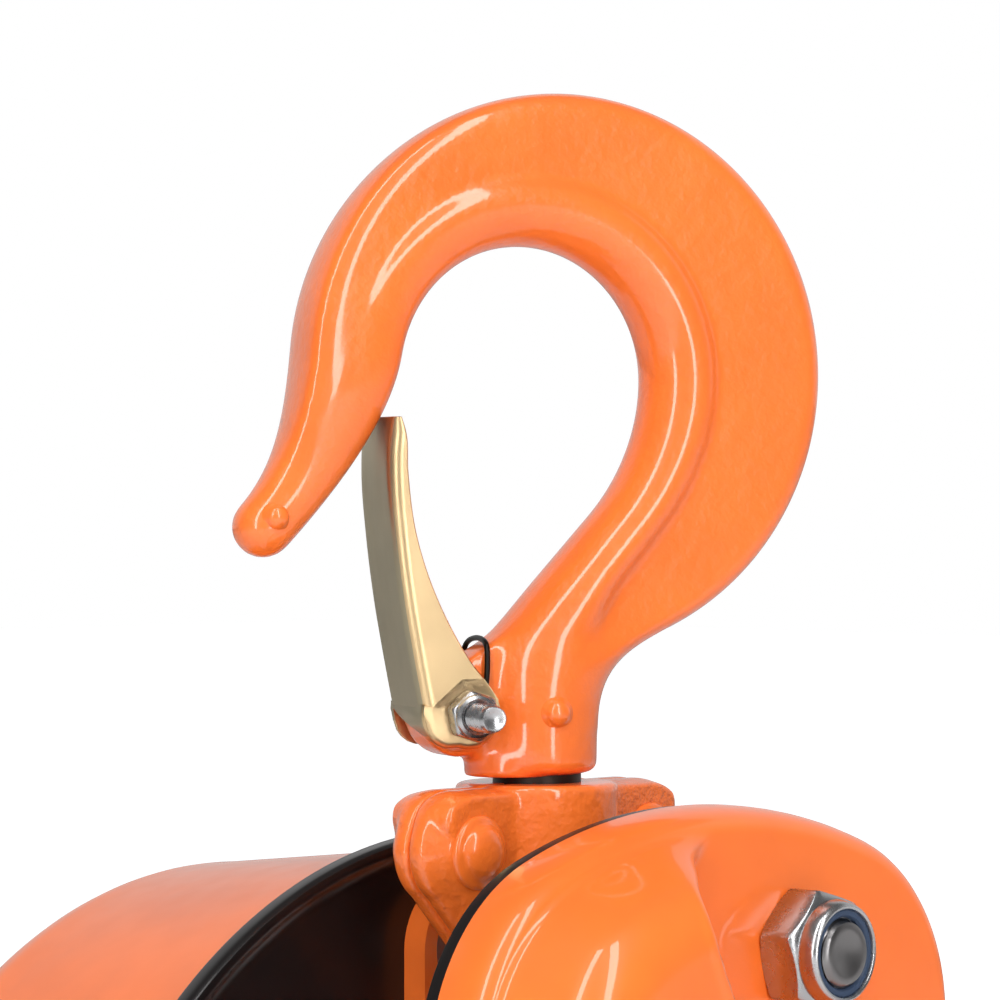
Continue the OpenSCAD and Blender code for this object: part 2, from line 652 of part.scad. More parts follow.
module load_gear_ring() {
    color(plain_steel) from_foot() difference() {
        tube(spline_r + 1.6, spline_r - 2.4, load_y0 - 1.2, load_y0 - 0.1, sheave_c);
        translate([-1.5, load_y0 - 2, shaft_z - spline_r - 4]) cube([3, 3, 8]);
    }
}

module idler_gear(i) {
    c = idlers[i];
    toward = idler_angle + 180 * i + 180;
    color(plain_steel) from_foot() {
        slab(wheel_y0, wheel_y1) difference() {
            translate(c) rotate(toward + 180 / wheel_z) polygon(gear_outline(wheel_z));
            for (a = [0 : 60 : 300]) translate(c + 12.4 * gear_m * along(a)) circle(3.04 * gear_m);
        }
        slab(wheel_y1, load_y1) translate(c) rotate(toward) polygon(gear_outline(pinion_z));
        rod(idler_journal_r, load_y1, plate_front_y - 0.5, c);
        rod(idler_journal_r, bush_front + free_gap, wheel_y0, c);
    }
}
module idler_gear_a() { idler_gear(0); }
module idler_gear_b() { idler_gear(1); }

module idler_bushes() {
    color(bronze) from_foot() for (c = idlers) {
        tube(idler_journal_r + bush_t, idler_journal_r + run_gap, case_front, plate_front_y, c);
        tube(idler_journal_r + bush_t, idler_journal_r + run_gap, bush_front, wheel_y0 - free_gap, c);
    }
}

// ---------------------------------------------------------------- load sheave and shaft

module load_sheave() {
    groove_r = sheave_pitch_r - link_w / 2 - 0.6;
    color(plain_steel) from_foot() {
        difference() {
            union() {
                translate(in_shaft(0)) rotate([90, 0, 0]) rotate_extrude() polygon([
                    [shaft_r + 1, -sheave_w / 2], [sheave_rim_r - 3, -sheave_w / 2],
                    [sheave_rim_r, -sheave_w / 2 + 2.5], [sheave_rim_r, -chain_d / 2 - 1],
                    [groove_r, -chain_d / 2 - 0.8], [groove_r, chain_d / 2 + 0.8],
                    [sheave_rim_r, chain_d / 2 + 1], [sheave_rim_r, sheave_w / 2 - 2.5],
                    [sheave_rim_r - 3, sheave_w / 2], [shaft_r + 1, sheave_w / 2]]);
                rod(journal_r, plate_front_y - side_plate_t, rear_outer, sheave_c);
                rod(journal_r + 2.5, plate_front_y + 2.5, -sheave_w / 2, sheave_c);
                slab(load_y0 - 2.2, front_outer + 0.5) translate(sheave_c) spline_outline(0);
            }
            rod(shaft_r + 1.5, -100, 100, sheave_c);
            translate(in_shaft(0)) for (i = [0 : sheave_pockets - 1])
                rotate([0, i * pocket_step, 0]) chain_pocket();
            tube(spline_r + 2, spline_r - 2.4, load_y0 - 1.2, load_y0 - 0.1, sheave_c);
        }
    }
}
function in_shaft(y) = [0, y, shaft_z];

// Seat for one flat link: a straight trough with round ends, open outwards
module chain_pocket() {
    reach = chain_pitch / 2 + chain_d * 0.9;
    seat = sheave_pitch_r * cos(pocket_step / 4) - chain_d / 2 - 0.2;
    for (s = [-1, 1]) translate([s * (reach - link_w / 2), 0, seat]) cylinder(d = link_w + 0.8, h = 20);
    translate([-(reach - link_w / 2), -link_w / 2 - 0.4, seat]) cube([2 * reach - link_w, link_w + 0.8, 20]);
}

module sheave_bearings() {
    color(plain_steel) from_foot() {
        tube(bearing_od / 2, journal_r + run_gap, front_outer, front_outer + bearing_w, sheave_c);
        tube(bearing_od / 2, journal_r + run_gap, rear_outer - bearing_w, rear_outer, sheave_c);
    }
}

// Drive shaft with its pinion, thread seat and wheel end
hub_y0 = case_rear + 2;
disc_t = 2.5;
hub_flange_t = 4;
ratchet_y0 = hub_y0 + hub_flange_t + disc_t;
ratchet_t = 6;
wheel_hub_y0 = ratchet_y0 + ratchet_t + disc_t;
wheel_hub_y1 = wheel_hub_y0 + 26;
shaft_end = wheel_hub_y1 + 9;
hub_r = 12;

module drive_shaft() {
    color(plain_steel) from_foot() {
        rod(shaft_r, wheel_y1, hub_y0, sheave_c);
        difference() {
            rod(shaft_r - 0.5, hub_y0, shaft_end, sheave_c);
            translate([-10, castle_y + 6.9, shaft_z]) rotate([0, 90, 0]) cylinder(r = 1.05, h = 20, $fn = 24);
        }
        slab(wheel_y0, wheel_y1) translate(sheave_c) rotate(idler_angle) polygon(gear_outline(pinion_z));
        rod(idler_journal_r, bush_front + free_gap, wheel_y0, sheave_c);
    }
}

module shaft_bushes() {
    color(bronze) from_foot() {
        tube(shaft_r + 1.5, shaft_r + run_gap, load_y0 + 1, load_y0 + 11, sheave_c);
        tube(shaft_r + 1.5, shaft_r + run_gap, rear_outer - 10, rear_outer, sheave_c);
    }
}

// ---------------------------------------------------------------- brake and hand wheel

brake_r = 26;
ratchet_r = 34;
ratchet_depth = 4;
pawl_pin_r = 4;
pawl_dist = ratchet_r + 8.2;
pawl_pivots = [sheave_c + pawl_dist * along(150), sheave_c + pawl_dist * along(-30)];

module brake_hub() {
    color(plain_steel) from_foot() difference() {
        union() {
            rod(brake_r, hub_y0, hub_y0 + hub_flange_t, sheave_c);
            rod(hub_r, hub_y0, wheel_hub_y1 - 4, sheave_c);
        }
        rod(shaft_r - 0.5, hub_y0 - 1, shaft_end, sheave_c);
    }
}

module friction_discs() {
    color(lining) from_foot() for (y = [hub_y0 + hub_flange_t, ratchet_y0 + ratchet_t])
        tube(brake_r - 0.5, hub_r + 2.5, y + 0.1, y + disc_t - 0.1, sheave_c);
}

// Saw-toothed ratchet outline
function ratchet_outline() = [for (i = [0 : ratchet_z - 1]) let (a = 360 * i / ratchet_z) each [
    (ratchet_r - ratchet_depth) * along(a), ratchet_r * along(a + 2),
    ratchet_r * along(a + 5), (ratchet_r - ratchet_depth) * along(a + 360 / ratchet_z - 1)]];
ratchet_phase = 188 - floor(188 * ratchet_z / 360) * 360 / ratchet_z;

module ratchet_disc() {
    color(plain_steel) from_foot() difference() {
        slab(ratchet_y0, ratchet_y0 + ratchet_t) translate(sheave_c)
            rotate(ratchet_phase) polygon(ratchet_outline());
        rod(hub_r + free_gap, ratchet_y0 - 1, ratchet_y0 + ratchet_t + 1, sheave_c);
    }
}

// Pawl: round boss with a pointed nose reaching a tooth gap
module pawl(i) {
    p = pawl_pivots[i];
    lean = 150 - 180 * i;
    y0 = ratchet_y0 + 0.5;
    y1 = ratchet_y0 + ratchet_t - 0.5;
    color(plain_steel) from_foot() difference() {
        union() {
            rod(7, y0, y1, p);
            slab(y0, y1) translate(p) rotate(lean + 90)
                polygon([[1.5, 6.8], [10.5, 8.9], [14, 11.6], [18.3, 17.2], [18.75, 17.7],
                    [21.6, 15.4], [20.6, 12], [5.5, -4.3], [-3, -5]]);
        }
        rod(pawl_pin_r + run_gap, 0, 100, p);
    }
}
module pawl_a() { pawl(0); }
module pawl_b() { pawl(1); }

module pawl_pins() {
    color(plain_steel) from_foot() for (p = pawl_pivots) {
        rod(pawl_pin_r, plate_rear_y, ratchet_y0 + ratchet_t + 2, p);
        rod(pawl_pin_r + 2.5, case_rear, ratchet_y0, p);
        tube(pawl_pin_r + 1.5, pawl_pin_r, ratchet_y0 + ratchet_t, ratchet_y0 + ratchet_t + 1.2, p);
    }
}

module pawl_springs() {
    r = pawl_pin_r + 2.5 + 0.6;
    color(plain_steel) from_foot() for (i = [0, 1]) {
        p = pawl_pivots[i];
        lean = 150 - 180 * i;
        y0 = case_rear + 0.8;
        path = [for (k = [0 : 30]) let (a = lean + 200 + 24 * k)
            [p[0] + r * cos(a), y0 + k * 0.1, p[1] + r * sin(a)]];
        wire(path, 0.5, [0, 1, 0], 6);
    }
}

wheel_rim_y0 = wheel_hub_y0 + 1;
wheel_rim_w = 21;
wheel_cover_r = wheel_cover_d / 2;
draft = 9.4;                                    // the cover narrows this much to its end fillet
end_fillet = 13;
hand_r = wheel_cover_r - wheel_cover_t - hand_wheel_gap
    - draft * (wheel_rim_y0 + wheel_rim_w - case_rear) / (wheel_cover_depth - end_fillet);
hand_chain_d = 4;
module hand_wheel() {
    mid = wheel_rim_y0 + wheel_rim_w / 2;
    color(gloss_black) from_foot() difference() {
        union() {
            translate(in_shaft(mid)) rotate([90, 0, 0]) rotate_extrude() polygon([
                [hub_r + 6, -wheel_rim_w / 2], [hand_r - 2, -wheel_rim_w / 2],
                [hand_r, -wheel_rim_w / 2 + 2], [hand_r - 12, -hand_chain_d / 2 - 1],
                [hand_r - 18, -hand_chain_d / 2 - 0.6], [hand_r - 18, hand_chain_d / 2 + 0.6],
                [hand_r - 12, hand_chain_d / 2 + 1], [hand_r, wheel_rim_w / 2 - 2],
                [hand_r - 2, wheel_rim_w / 2], [hand_r - 22, wheel_rim_w / 2],
                [hand_r - 26, 2], [hub_r + 12, 2], [hub_r + 6, 4]]);
            rod(hub_r + 7, wheel_hub_y0, wheel_hub_y1 - 4, sheave_c);
        }
        rod(hub_r, 0, 100, sheave_c);
        for (i = [0 : 5]) rod(8, 0, 100, sheave_c + 38 * along(60 * i));
        translate(in_shaft(mid)) for (i = [0 : wheel_pockets - 1]) rotate([0, i * 360 / wheel_pockets, 0])
            translate([-13, -7.5, hand_r - 11]) cube([26, 15, 20]);
    }
}

castle_y = wheel_hub_y1 - 4;
module castle_nut() {
    color(bright_zinc) from_foot() difference() {
        union() {
            hex(19, castle_y, castle_y + 5.5, sheave_c);
            rod(8.4, castle_y + 2, castle_y + 8, sheave_c);
        }
        rod(shaft_r - 0.5, 0, 200, sheave_c);
        for (a = [0, 60, 120]) translate(in_shaft(castle_y + 5.8)) rotate([0, a, 0])
            translate([-12, 0, -1.3]) cube([24, 5, 2.6]);
    }
}

module split_pin() {
    color(plain_steel) from_foot() {
        translate([-9.5, castle_y + 6.9, shaft_z]) rotate([0, 90, 0]) cylinder(r = 1, h = 19, $fn = 24);
        translate([10.9, castle_y + 6.9, shaft_z]) rotate([90, 0, 0]) rotate_extrude($fn = 24)
            translate([1.7, 0]) circle(0.8, $fn = 16);
    }
}

// ---------------------------------------------------------------- wheel cover

screw_r = wheel_cover_r - 7;
plate_r = wheel_cover_r + 1.9;                  // black plate stands out behind the cover
plate_rim_t = 2.4;
cover_screws = [for (a = [38, 142, 218, 322]) sheave_c + screw_r * along(a)];

module wheel_case_plate() {
    color(gloss_black) from_foot() difference() {
        rod(plate_r, rear_outer - 1.5, case_rear, sheave_c);
        rod(plate_r - plate_rim_t, rear_outer - 4, rear_outer, sheave_c);
        slab(rear_outer - 4, rear_outer) translate([0, pin_z]) {
            circle(suspension_r + free_gap);
            translate([-suspension_r - free_gap, -25]) square([2 * (suspension_r + free_gap), 25]);
        }
        rod(shaft_r + 3, rear_outer - 1, case_rear + 1, sheave_c);
        for (p = pawl_pivots) rod(pawl_pin_r, rear_outer - 1, case_rear + 1, p);
        for (s = stays) rod(stay_d / 2, rear_outer - 1, case_rear + 1, s);
        for (s = cover_screws) rod(2.5, rear_outer - 1, case_rear + 1, s);
    }
}

function cover_profile(r, end) = concat([[r, 0], [r - draft, end - end_fillet]],
    [for (a = [15 : 15 : 90])
        [r - draft - end_fillet * (1 - cos(a)), end - end_fillet + end_fillet * sin(a)]],
    [[0, end]]);

module wheel_cover() {
    t = wheel_cover_t;
    color(orange) from_foot() difference() {
        union() {
            translate(in_shaft(case_rear)) rotate([-90, 0, 0]) rotate_extrude($fn = 128) polygon(concat(
                cover_profile(wheel_cover_r, wheel_cover_depth),
                [[0, wheel_cover_depth - t]],
                [for (a = [90 : -15 : 15]) [wheel_cover_r - t - draft - (end_fillet - t) * (1 - cos(a)),
                    wheel_cover_depth - end_fillet + (end_fillet - t) * sin(a)]],
                [[wheel_cover_r - t - draft, wheel_cover_depth - end_fillet], [wheel_cover_r - t, 0]]));
            for (s = cover_screws) rod(5.2, case_rear, case_rear + 9, s);
        }
        for (s = cover_screws) rod(2.5, case_rear - 1, case_rear + 8, s);
        for (s = [-1, 1]) translate([s * (hand_r - 9) - 11, case_rear + 9, shaft_z - wheel_cover_r - 5])
            cube([22, 36, wheel_cover_r - 10]);
    }
}

module wheel_cover_screws() {
    color(bright_zinc) from_foot() for (s = cover_screws) {
        rod(2.5, rear_outer, case_rear + 7.5, s);
        rod(3.8, rear_outer - 2.8, rear_outer, s);
    }
}

// ---------------------------------------------------------------- chain guides

module cross_pin(at) {
    rod(guide_pin_r, front_outer, rear_outer, at);
}

module chain_guides() {
    color(plain_steel) from_foot() for (p = [cross_pins[0], cross_pins[1]]) {
        cross_pin(p);
        rod(6.5, plate_front_y, plate_rear_y, p);
    }
}

module chain_stripper() {
    color(plain_steel) from_foot() {
        cross_pin(cross_pins[2]);
        rod(6.5, plate_front_y, plate_rear_y, cross_pins[2]);
        slab(-2.2, 2.2) polygon([[-6, stripper_z], [6, stripper_z], [4, shaft_z - 24], [-4, shaft_z - 24]]);
    }
}

module chain_anchor_pin() {
    color(plain_steel) from_foot() {
        cross_pin(anchor);
        for (s = [[plate_front_y, -5], [5, plate_rear_y]]) rod(7, s[0], s[1], anchor);
    }
}

top_hook();
latch();
latch_bolt();
latch_nut();
latch_spring();
yoke_front_half();
yoke_rear_half();
yoke_rivets();
suspension_pin();
pin_spacers();
gear_side_plate();
wheel_side_plate();
stay_bolts();
stay_nuts();
cover_studs();
gear_case_plate();
gear_cover();
gear_cover_nuts();
load_sheave();
sheave_bearings();
load_gear();
load_gear_ring();
idler_gear_a();
idler_gear_b();
idler_bushes();
drive_shaft();
shaft_bushes();
brake_hub();
friction_discs();
ratchet_disc();
pawl_a();
pawl_b();
pawl_pins();
pawl_springs();
hand_wheel();
castle_nut();
split_pin();
wheel_case_plate();
wheel_cover();
wheel_cover_screws();
chain_guides();
chain_stripper();
chain_anchor_pin();
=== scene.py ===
import json
import math

import bmesh
import bpy
import numpy as np
from mathutils import Matrix, Vector


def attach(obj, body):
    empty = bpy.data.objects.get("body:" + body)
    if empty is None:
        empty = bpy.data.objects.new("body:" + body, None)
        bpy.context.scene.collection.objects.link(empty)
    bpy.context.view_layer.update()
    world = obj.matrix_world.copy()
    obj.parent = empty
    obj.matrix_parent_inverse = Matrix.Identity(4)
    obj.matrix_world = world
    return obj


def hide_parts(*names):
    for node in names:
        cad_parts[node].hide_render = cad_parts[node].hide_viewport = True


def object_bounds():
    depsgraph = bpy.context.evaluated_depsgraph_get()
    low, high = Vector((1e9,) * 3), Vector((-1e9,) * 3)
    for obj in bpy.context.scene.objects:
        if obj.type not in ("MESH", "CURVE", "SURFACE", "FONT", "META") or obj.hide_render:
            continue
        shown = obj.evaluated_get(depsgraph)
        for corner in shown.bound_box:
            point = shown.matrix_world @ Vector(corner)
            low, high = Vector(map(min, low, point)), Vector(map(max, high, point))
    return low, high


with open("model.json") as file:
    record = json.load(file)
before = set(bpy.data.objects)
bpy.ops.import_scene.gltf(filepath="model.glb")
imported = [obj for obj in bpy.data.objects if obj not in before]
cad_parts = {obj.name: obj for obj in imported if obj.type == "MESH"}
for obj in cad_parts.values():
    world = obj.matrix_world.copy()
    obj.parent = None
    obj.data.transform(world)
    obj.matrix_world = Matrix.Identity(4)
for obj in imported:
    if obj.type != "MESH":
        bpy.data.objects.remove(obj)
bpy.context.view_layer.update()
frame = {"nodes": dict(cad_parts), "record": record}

# Lengths are in millimetres from the shank foot: X to the right, Y from the gear cover to the wheel cover,
# Z up. Outlines are [x, z] pairs. Hook, latch and spring are drawn in the hook plane and turned by YAW.
MM = 0.001
REACH = 91.5                                    # load seat above the shank foot
YAW = math.radians(-26)                         # rest angle of the hook
SHAFT_Z = -106.0                                # main shaft


# ---------------------------------------------------------------- frames and helpers

def foot(p):
    """Millimetres from the shank foot to metres in the row frame."""
    p = np.asarray(p, float)
    return (p - np.array([0, 0, REACH])) * MM


def hooked(p):
    """The same, from the hook plane turned to its rest angle."""
    p = np.asarray(p, float)
    c, s = math.cos(YAW), math.sin(YAW)
    q = np.stack([c * p[..., 0] - s * p[..., 1], s * p[..., 0] + c * p[..., 1], p[..., 2]], -1)
    return foot(q)


def ease(t):
    """Smooth step from 0 to 1."""
    t = np.clip(t, 0, 1)
    return t * t * (3 - 2 * t)


def lerp(a, b, t):
    return a + (b - a) * t


def along(deg):
    """Unit vector at an angle."""
    a = np.radians(deg)
    return np.stack([np.cos(a), np.sin(a)], -1)


def circle(n):
    """Angles of n points spaced evenly round a full turn."""
    return np.arange(n) / n * 2 * math.pi


def bezier(a, b, c, d, t):
    a, b, c, d = (np.asarray(v, float) for v in (a, b, c, d))
    t = np.asarray(t, float)[..., None]
    return (1 - t) ** 3 * a + 3 * t * (1 - t) ** 2 * b + 3 * t * t * (1 - t) * c + t ** 3 * d


def dense(points):
    """An open run of points, doubled and smoothed three times."""
    p = np.asarray(points, float)
    for _ in range(3):
        q = np.empty((2 * len(p) - 1, p.shape[1]))
        q[::2], q[1::2] = p, (p[:-1] + p[1:]) / 2
        q[1:-1] = (q[:-2] + 2 * q[1:-1] + q[2:]) / 4
        p = q
    return p


def make(name, verts, faces, body=None, mat=None):
    """A smooth mesh object from points in metres."""
    me = bpy.data.meshes.new(name)
    me.from_pydata([tuple(v) for v in np.asarray(verts, float)], [], [tuple(map(int, f)) for f in faces])
    me.validate()
    ob = bpy.data.objects.new(name, me)
    bpy.context.scene.collection.objects.link(ob)
    me.shade_smooth()
    if mat:
        me.materials.append(mat)
    if body:
        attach(ob, body)
    return ob


def sharp_by_angle(ob, angle):
    ob.data.shade_smooth()
    ob.data.set_sharp_from_angle(angle=math.radians(angle))


def loft_data(rings, hoop=False):
    """Points and faces of a stack of equal closed rings: capped, or with the last joined to the first."""
    rings = np.asarray(rings, float)
    m, n = rings.shape[:2]
    faces = [(i * n + j, i * n + (j + 1) % n, (i + 1) % m * n + (j + 1) % n, (i + 1) % m * n + j)
             for i in range(m if hoop else m - 1) for j in range(n)]
    if not hoop:
        faces += [tuple(range(n - 1, -1, -1)), tuple((m - 1) * n + j for j in range(n))]
    return rings.reshape(-1, 3), faces


def at_y(outline, y):
    """An X-Z outline as a ring of points; y is one value, or one for each point."""
    o = np.asarray(outline, float)
    return np.stack([o[:, 0], np.broadcast_to(y, len(o)), o[:, 1]], -1)


def ring_y(r, y, at, n):
    """A ring of n points round an axis along Y; r and y are one value each, or one for each point."""
    a = circle(n)
    return at_y(np.stack([at[0] + r * np.cos(a), at[1] + r * np.sin(a)], -1), y)


def lathe_y(profile, at, n=72, hoop=False):
    """Turns [radius, y] pairs round an axis along Y; a hoop has a hole through the middle."""
    return loft_data([ring_y(r, y, at, n) for r, y in profile], hoop)


def prism(outline, y0, y1):
    return loft_data([at_y(outline, y) for y in (y0, y1)])


def fix_normals(ob):
    bm = bmesh.new()
    bm.from_mesh(ob.data)
    bmesh.ops.recalc_face_normals(bm, faces=bm.faces)
    bm.to_mesh(ob.data)
    bm.free()


def lathe_data(profile, axis, centre, n=64):
    """Turns [radius, station] pairs round an axis through centre."""
    ax = Vector(axis).normalized()
    u = ax.orthogonal().normalized()
    v = ax.cross(u)
    ax, u, v = (np.array(w) for w in (ax, u, v))
    a = circle(n)
    out = np.cos(a)[:, None] * u + np.sin(a)[:, None] * v
    return loft_data([np.asarray(centre) + ax * s + r * out for r, s in profile])


def joined(name, parts, body=None, mat=None, angle=35):
    """One object from several (points, faces) pairs."""
    verts, faces, k = [], [], 0
    for p, f in parts:
        verts.append(np.asarray(p, float))
        faces += [tuple(i + k for i in q) for q in f]
        k += len(p)
    ob = make(name, np.concatenate(verts), faces, body, mat)
    fix_normals(ob)
    sharp_by_angle(ob, angle)
    return ob


def placed(name, parts, body, mat, node=None, place=foot, angle=35):
    """A finished piece from (points, faces) pairs in millimetres."""
    ob = joined(name, [(place(p), f) for p, f in parts], body, mat, angle)
    if node:
        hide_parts(node)
    return ob


def apply_modifiers(ob):
    dg = bpy.context.evaluated_depsgraph_get()
    me = bpy.data.meshes.new_from_object(ob.evaluated_get(dg))
    old = ob.data
    ob.modifiers.clear()
    ob.data = me
    bpy.data.meshes.remove(old)


def remesh(ob, voxel, rounds):
    """Melts overlapping shells into one skin of voxels this many millimetres wide, then smooths it."""
    m = ob.modifiers.new("voxel", "REMESH")
    m.mode = "VOXEL"
    m.voxel_size = voxel * MM
    m.use_smooth_shade = True
    apply_modifiers(ob)
    soften(ob, rounds)


def soften(ob, rounds, weight=None):
    """Draws each point half way to its neighbours' average, by weight, which is a function of the points."""
    me = ob.data
    p = np.empty(len(me.vertices) * 3)
    me.vertices.foreach_get("co", p)
    p = p.reshape(-1, 3)
    w = np.ones(len(p)) if weight is None else weight(p)
    e = np.empty(len(me.edges) * 2, np.int32)
    me.edges.foreach_get("vertices", e)
    e = e.reshape(-1, 2)
    count = np.maximum(np.bincount(e.ravel(), minlength=len(p)).astype(float), 1)
    for _ in range(rounds):
        s = np.zeros_like(p)
        for k in range(3):
            s[:, k] = (np.bincount(e[:, 0], p[e[:, 1], k], len(p))
                       + np.bincount(e[:, 1], p[e[:, 0], k], len(p))) / count
        p = p + (s - p) * (w * 0.5)[:, None]
    me.vertices.foreach_set("co", p.ravel())
    me.update()


# ---------------------------------------------------------------- materials

def material(name, colour, metallic, rough, **sockets):
    """A Principled material; sockets are named with underscores for spaces."""
    m = bpy.data.materials.new(name)
    m.use_nodes = True
    b = m.node_tree.nodes["Principled BSDF"]
    b.inputs["Base Color"].default_value = (*colour, 1)
    b.inputs["Metallic"].default_value = metallic
    b.inputs["Roughness"].default_value = rough
    for k, v in sockets.items():
        b.inputs[k.replace("_", " ")].default_value = v
    return m, m.node_tree.nodes, m.node_tree.links, b


def noise(nt, links, scale, detail=2.0, rough=0.5, stretch=None):
    """Noise in object space; scale counts cells per metre."""
    tc = nt.new("ShaderNodeTexCoord")
    n = nt.new("ShaderNodeTexNoise")
    n.inputs["Scale"].default_value = scale
    n.inputs["Detail"].default_value = detail
    n.inputs["Roughness"].default_value = rough
    if stretch:
        mp = nt.new("ShaderNodeMapping")
        mp.inputs["Scale"].default_value = stretch
        links.new(tc.outputs["Object"], mp.inputs["Vector"])
        links.new(mp.outputs["Vector"], n.inputs["Vector"])
    else:
        links.new(tc.outputs["Object"], n.inputs["Vector"])
    return n.outputs["Fac"]


def ramp(nt, links, fac, stops):
    """A colour ramp with two stops."""
    r = nt.new("ShaderNodeValToRGB")
    for e, (pos, col) in zip(r.color_ramp.elements, stops):
        e.position = pos
        e.color = (*col, 1)
    links.new(fac, r.inputs["Fac"])
    return r.outputs["Color"]


def spread(nt, links, value, low, high, start=0.0, end=1.0):
    """Maps start..end of a socket to low..high, clamped."""
    m = nt.new("ShaderNodeMapRange")
    for k, v in (("From Min", start), ("From Max", end), ("To Min", low), ("To Max", high)):
        m.inputs[k].default_value = v
    links.new(value, m.inputs["Value"])
    return m.outputs["Result"]


def combine(nt, links, op, a, b):
    """A math node over two sockets or numbers."""
    r = nt.new("ShaderNodeMath")
    r.operation = op
    for k, v in enumerate((a, b)):
        if isinstance(v, (int, float)):
            r.inputs[k].default_value = v
        else:
            links.new(v, r.inputs[k])
    return r.outputs["Value"]


def bumps(nt, links, shader, layers):
    """Stacks layers of (height socket, strength, distance in mm) on a shader's normal."""
    last = None
    for fac, strength, dist in layers:
        b = nt.new("ShaderNodeBump")
        b.inputs["Strength"].default_value = strength
        b.inputs["Distance"].default_value = dist * MM
        links.new(fac, b.inputs["Height"])
        if last:
            links.new(last, b.inputs["Normal"])
        last = b.outputs["Normal"]
    links.new(last, shader.inputs["Normal"])


ORANGE = (0.97, 0.185, 0.026)
# Grain under forged paint: noise scale, detail and roughness, share of the strength, height in mm
GRAIN = ((120, 3, 0.55, 0.6, 0.5), (420, 2, 0.5, 0.8, 0.28), (1300, 3, 0.6, 0.7, 0.1))
PATCH_X = (0.003, 0.010)                        # metres over which the rough patch of a casting sets in


def paint(name, colour=ORANGE, forged=0.0, rough=0.3, coat=0.8, coat_rough=0.08, cast=False):
    """Lacquer on sheet metal, or on a forging with grain of some strength; cast adds a rough patch."""
    m, nt, links, b = material(name, colour, 0, rough, Coat_Weight=coat, Coat_Roughness=coat_rough,
                               Coat_IOR=1.6, Specular_IOR_Level=0.3)
    dark = tuple(c * 0.93 for c in colour)
    lit = tuple(min(1, c * 1.05) for c in colour)
    tone = ramp(nt, links, noise(nt, links, 38, 3, 0.6), [(0.35, dark), (0.65, lit)])
    links.new(tone, b.inputs["Base Color"])
    links.new(spread(nt, links, noise(nt, links, 160, 3), rough - 0.05, rough + 0.1), b.inputs["Roughness"])
    layers = [(noise(nt, links, 700, 2), 0.08 if forged else 0.03, 0.06)]
    if forged:
        layers += [(noise(nt, links, scale, detail, fine), forged * share, height)
                   for scale, detail, fine, share, height in GRAIN]
    if cast:
        tc, sx = nt.new("ShaderNodeTexCoord"), nt.new("ShaderNodeSeparateXYZ")
        links.new(tc.outputs["Object"], sx.inputs["Vector"])
        here = spread(nt, links, sx.outputs["X"], 0.0, 1.0, *PATCH_X)
        layers.append((combine(nt, links, "MULTIPLY", here, noise(nt, links, 650, 4, 0.65)), 1.0, 0.6))
    bumps(nt, links, b, layers)
    return m


def metal(name, colour, rough=0.3, stretch=None, scale=220, grain=0.25, metallic=1.0):
    """Bare or plated metal with a fine grain, which may be stretched."""
    m, nt, links, b = material(name, colour, metallic, rough)
    f = noise(nt, links, scale, 4, 0.6, stretch)
    links.new(spread(nt, links, f, rough - 0.1, rough + 0.14), b.inputs["Roughness"])
    dark = tuple(c * 0.82 for c in colour)
    links.new(ramp(nt, links, noise(nt, links, 60, 3), [(0.3, dark), (0.7, colour)]), b.inputs["Base Color"])
    bumps(nt, links, b, [(f, grain, 0.05)])
    return m


ROLLED = (1, 1, 0.25)                           # grain drawn out along Z
forged_paint = paint("orange_forged", forged=1.0)
cast_paint = paint("orange_cast", forged=1.7, rough=0.32, cast=True)
sheet_paint = paint("orange_sheet", coat=0.6, coat_rough=0.03)
black_paint = paint("gloss_black", (0.008, 0.006, 0.006), rough=0.32, coat=0.22, coat_rough=0.12)
zinc = metal("bright_zinc", (0.55, 0.55, 0.56), 0.24, scale=300, grain=0.35)
yellow = metal("yellow_zinc", (0.80, 0.58, 0.32), 0.32, ROLLED, 260)
# Darker, browner zinc: painted shade for the latch web's outer face, which turns away from the lamps
shaded_web_zinc = metal("zinc_painted_shade", (0.50, 0.44, 0.30), 0.36, ROLLED, 260)
steel = metal("plain_steel", (0.26, 0.25, 0.25))
# Near-black steel: painted shade for the hook's stem in the gap between the hook and the yoke
stem_shade_steel = metal("stem_steel_painted_shade", (0.05, 0.042, 0.036), 0.45)
bronze = metal("bronze", (0.52, 0.33, 0.14), 0.38)
lining = metal("brake_lining", (0.10, 0.075, 0.055), 0.7, metallic=0.0)
nylon = metal("nylon_blue", (0.03, 0.055, 0.11), 0.45, metallic=0.0)
spring_black = metal("spring_black", (0.03, 0.028, 0.026), 0.35)

# The CAD's own solids keep their shape and take the material of their slot
SLOTS = {"orange_forged": forged_paint, "orange_sheet": sheet_paint, "gloss_black": black_paint,
         "yellow_zinc": yellow, "bright_zinc": zinc, "plain_steel": steel, "bronze": bronze,
         "brake_lining": lining}
slot_of = {s["node"]: s["material_slot"] for s in frame["record"]["subparts"]}
for node, ob in frame["nodes"].items():
    if not ob.material_slots:
        ob.data.materials.append(None)
    for ms in ob.material_slots:
        ms.material = SLOTS[slot_of[node]]


# ---------------------------------------------------------------- hook

BOWL_R, BOWL_X = 23.0, -3.2
CROWN, BACK, ARM = 26.9, 33.5, 17.9             # width of the section above, behind and before the bowl
BEAD_T, WEB_T, BEAD_D = 16.0, 10.4, 8.0         # thickness of bead and web; depth of the bead's top
TIP_R, SHANK_R, STEM_R = 5.2, 10.4, 7.7
TIP_LEAN, NECK_LEAN = 42.9, 42.2                # degrees off the vertical
NECK_END = 26                                   # height where the straight run of the neck ends
FOOT_Z = 8                                      # height where the neck has become the round shank
OUTER_END = -64.8                               # degrees, where the outer arc turns into the neck
OUTER_R = BOWL_R + (BACK + ARM) / 2
BOWL_C = np.array([BOWL_X, REACH - math.sqrt(BOWL_R ** 2 - BOWL_X ** 2)])
OUTER_C = BOWL_C + [(BACK - ARM) / 2, BOWL_R + CROWN - OUTER_R]
TIP_DIR = -along(90 - TIP_LEAN)
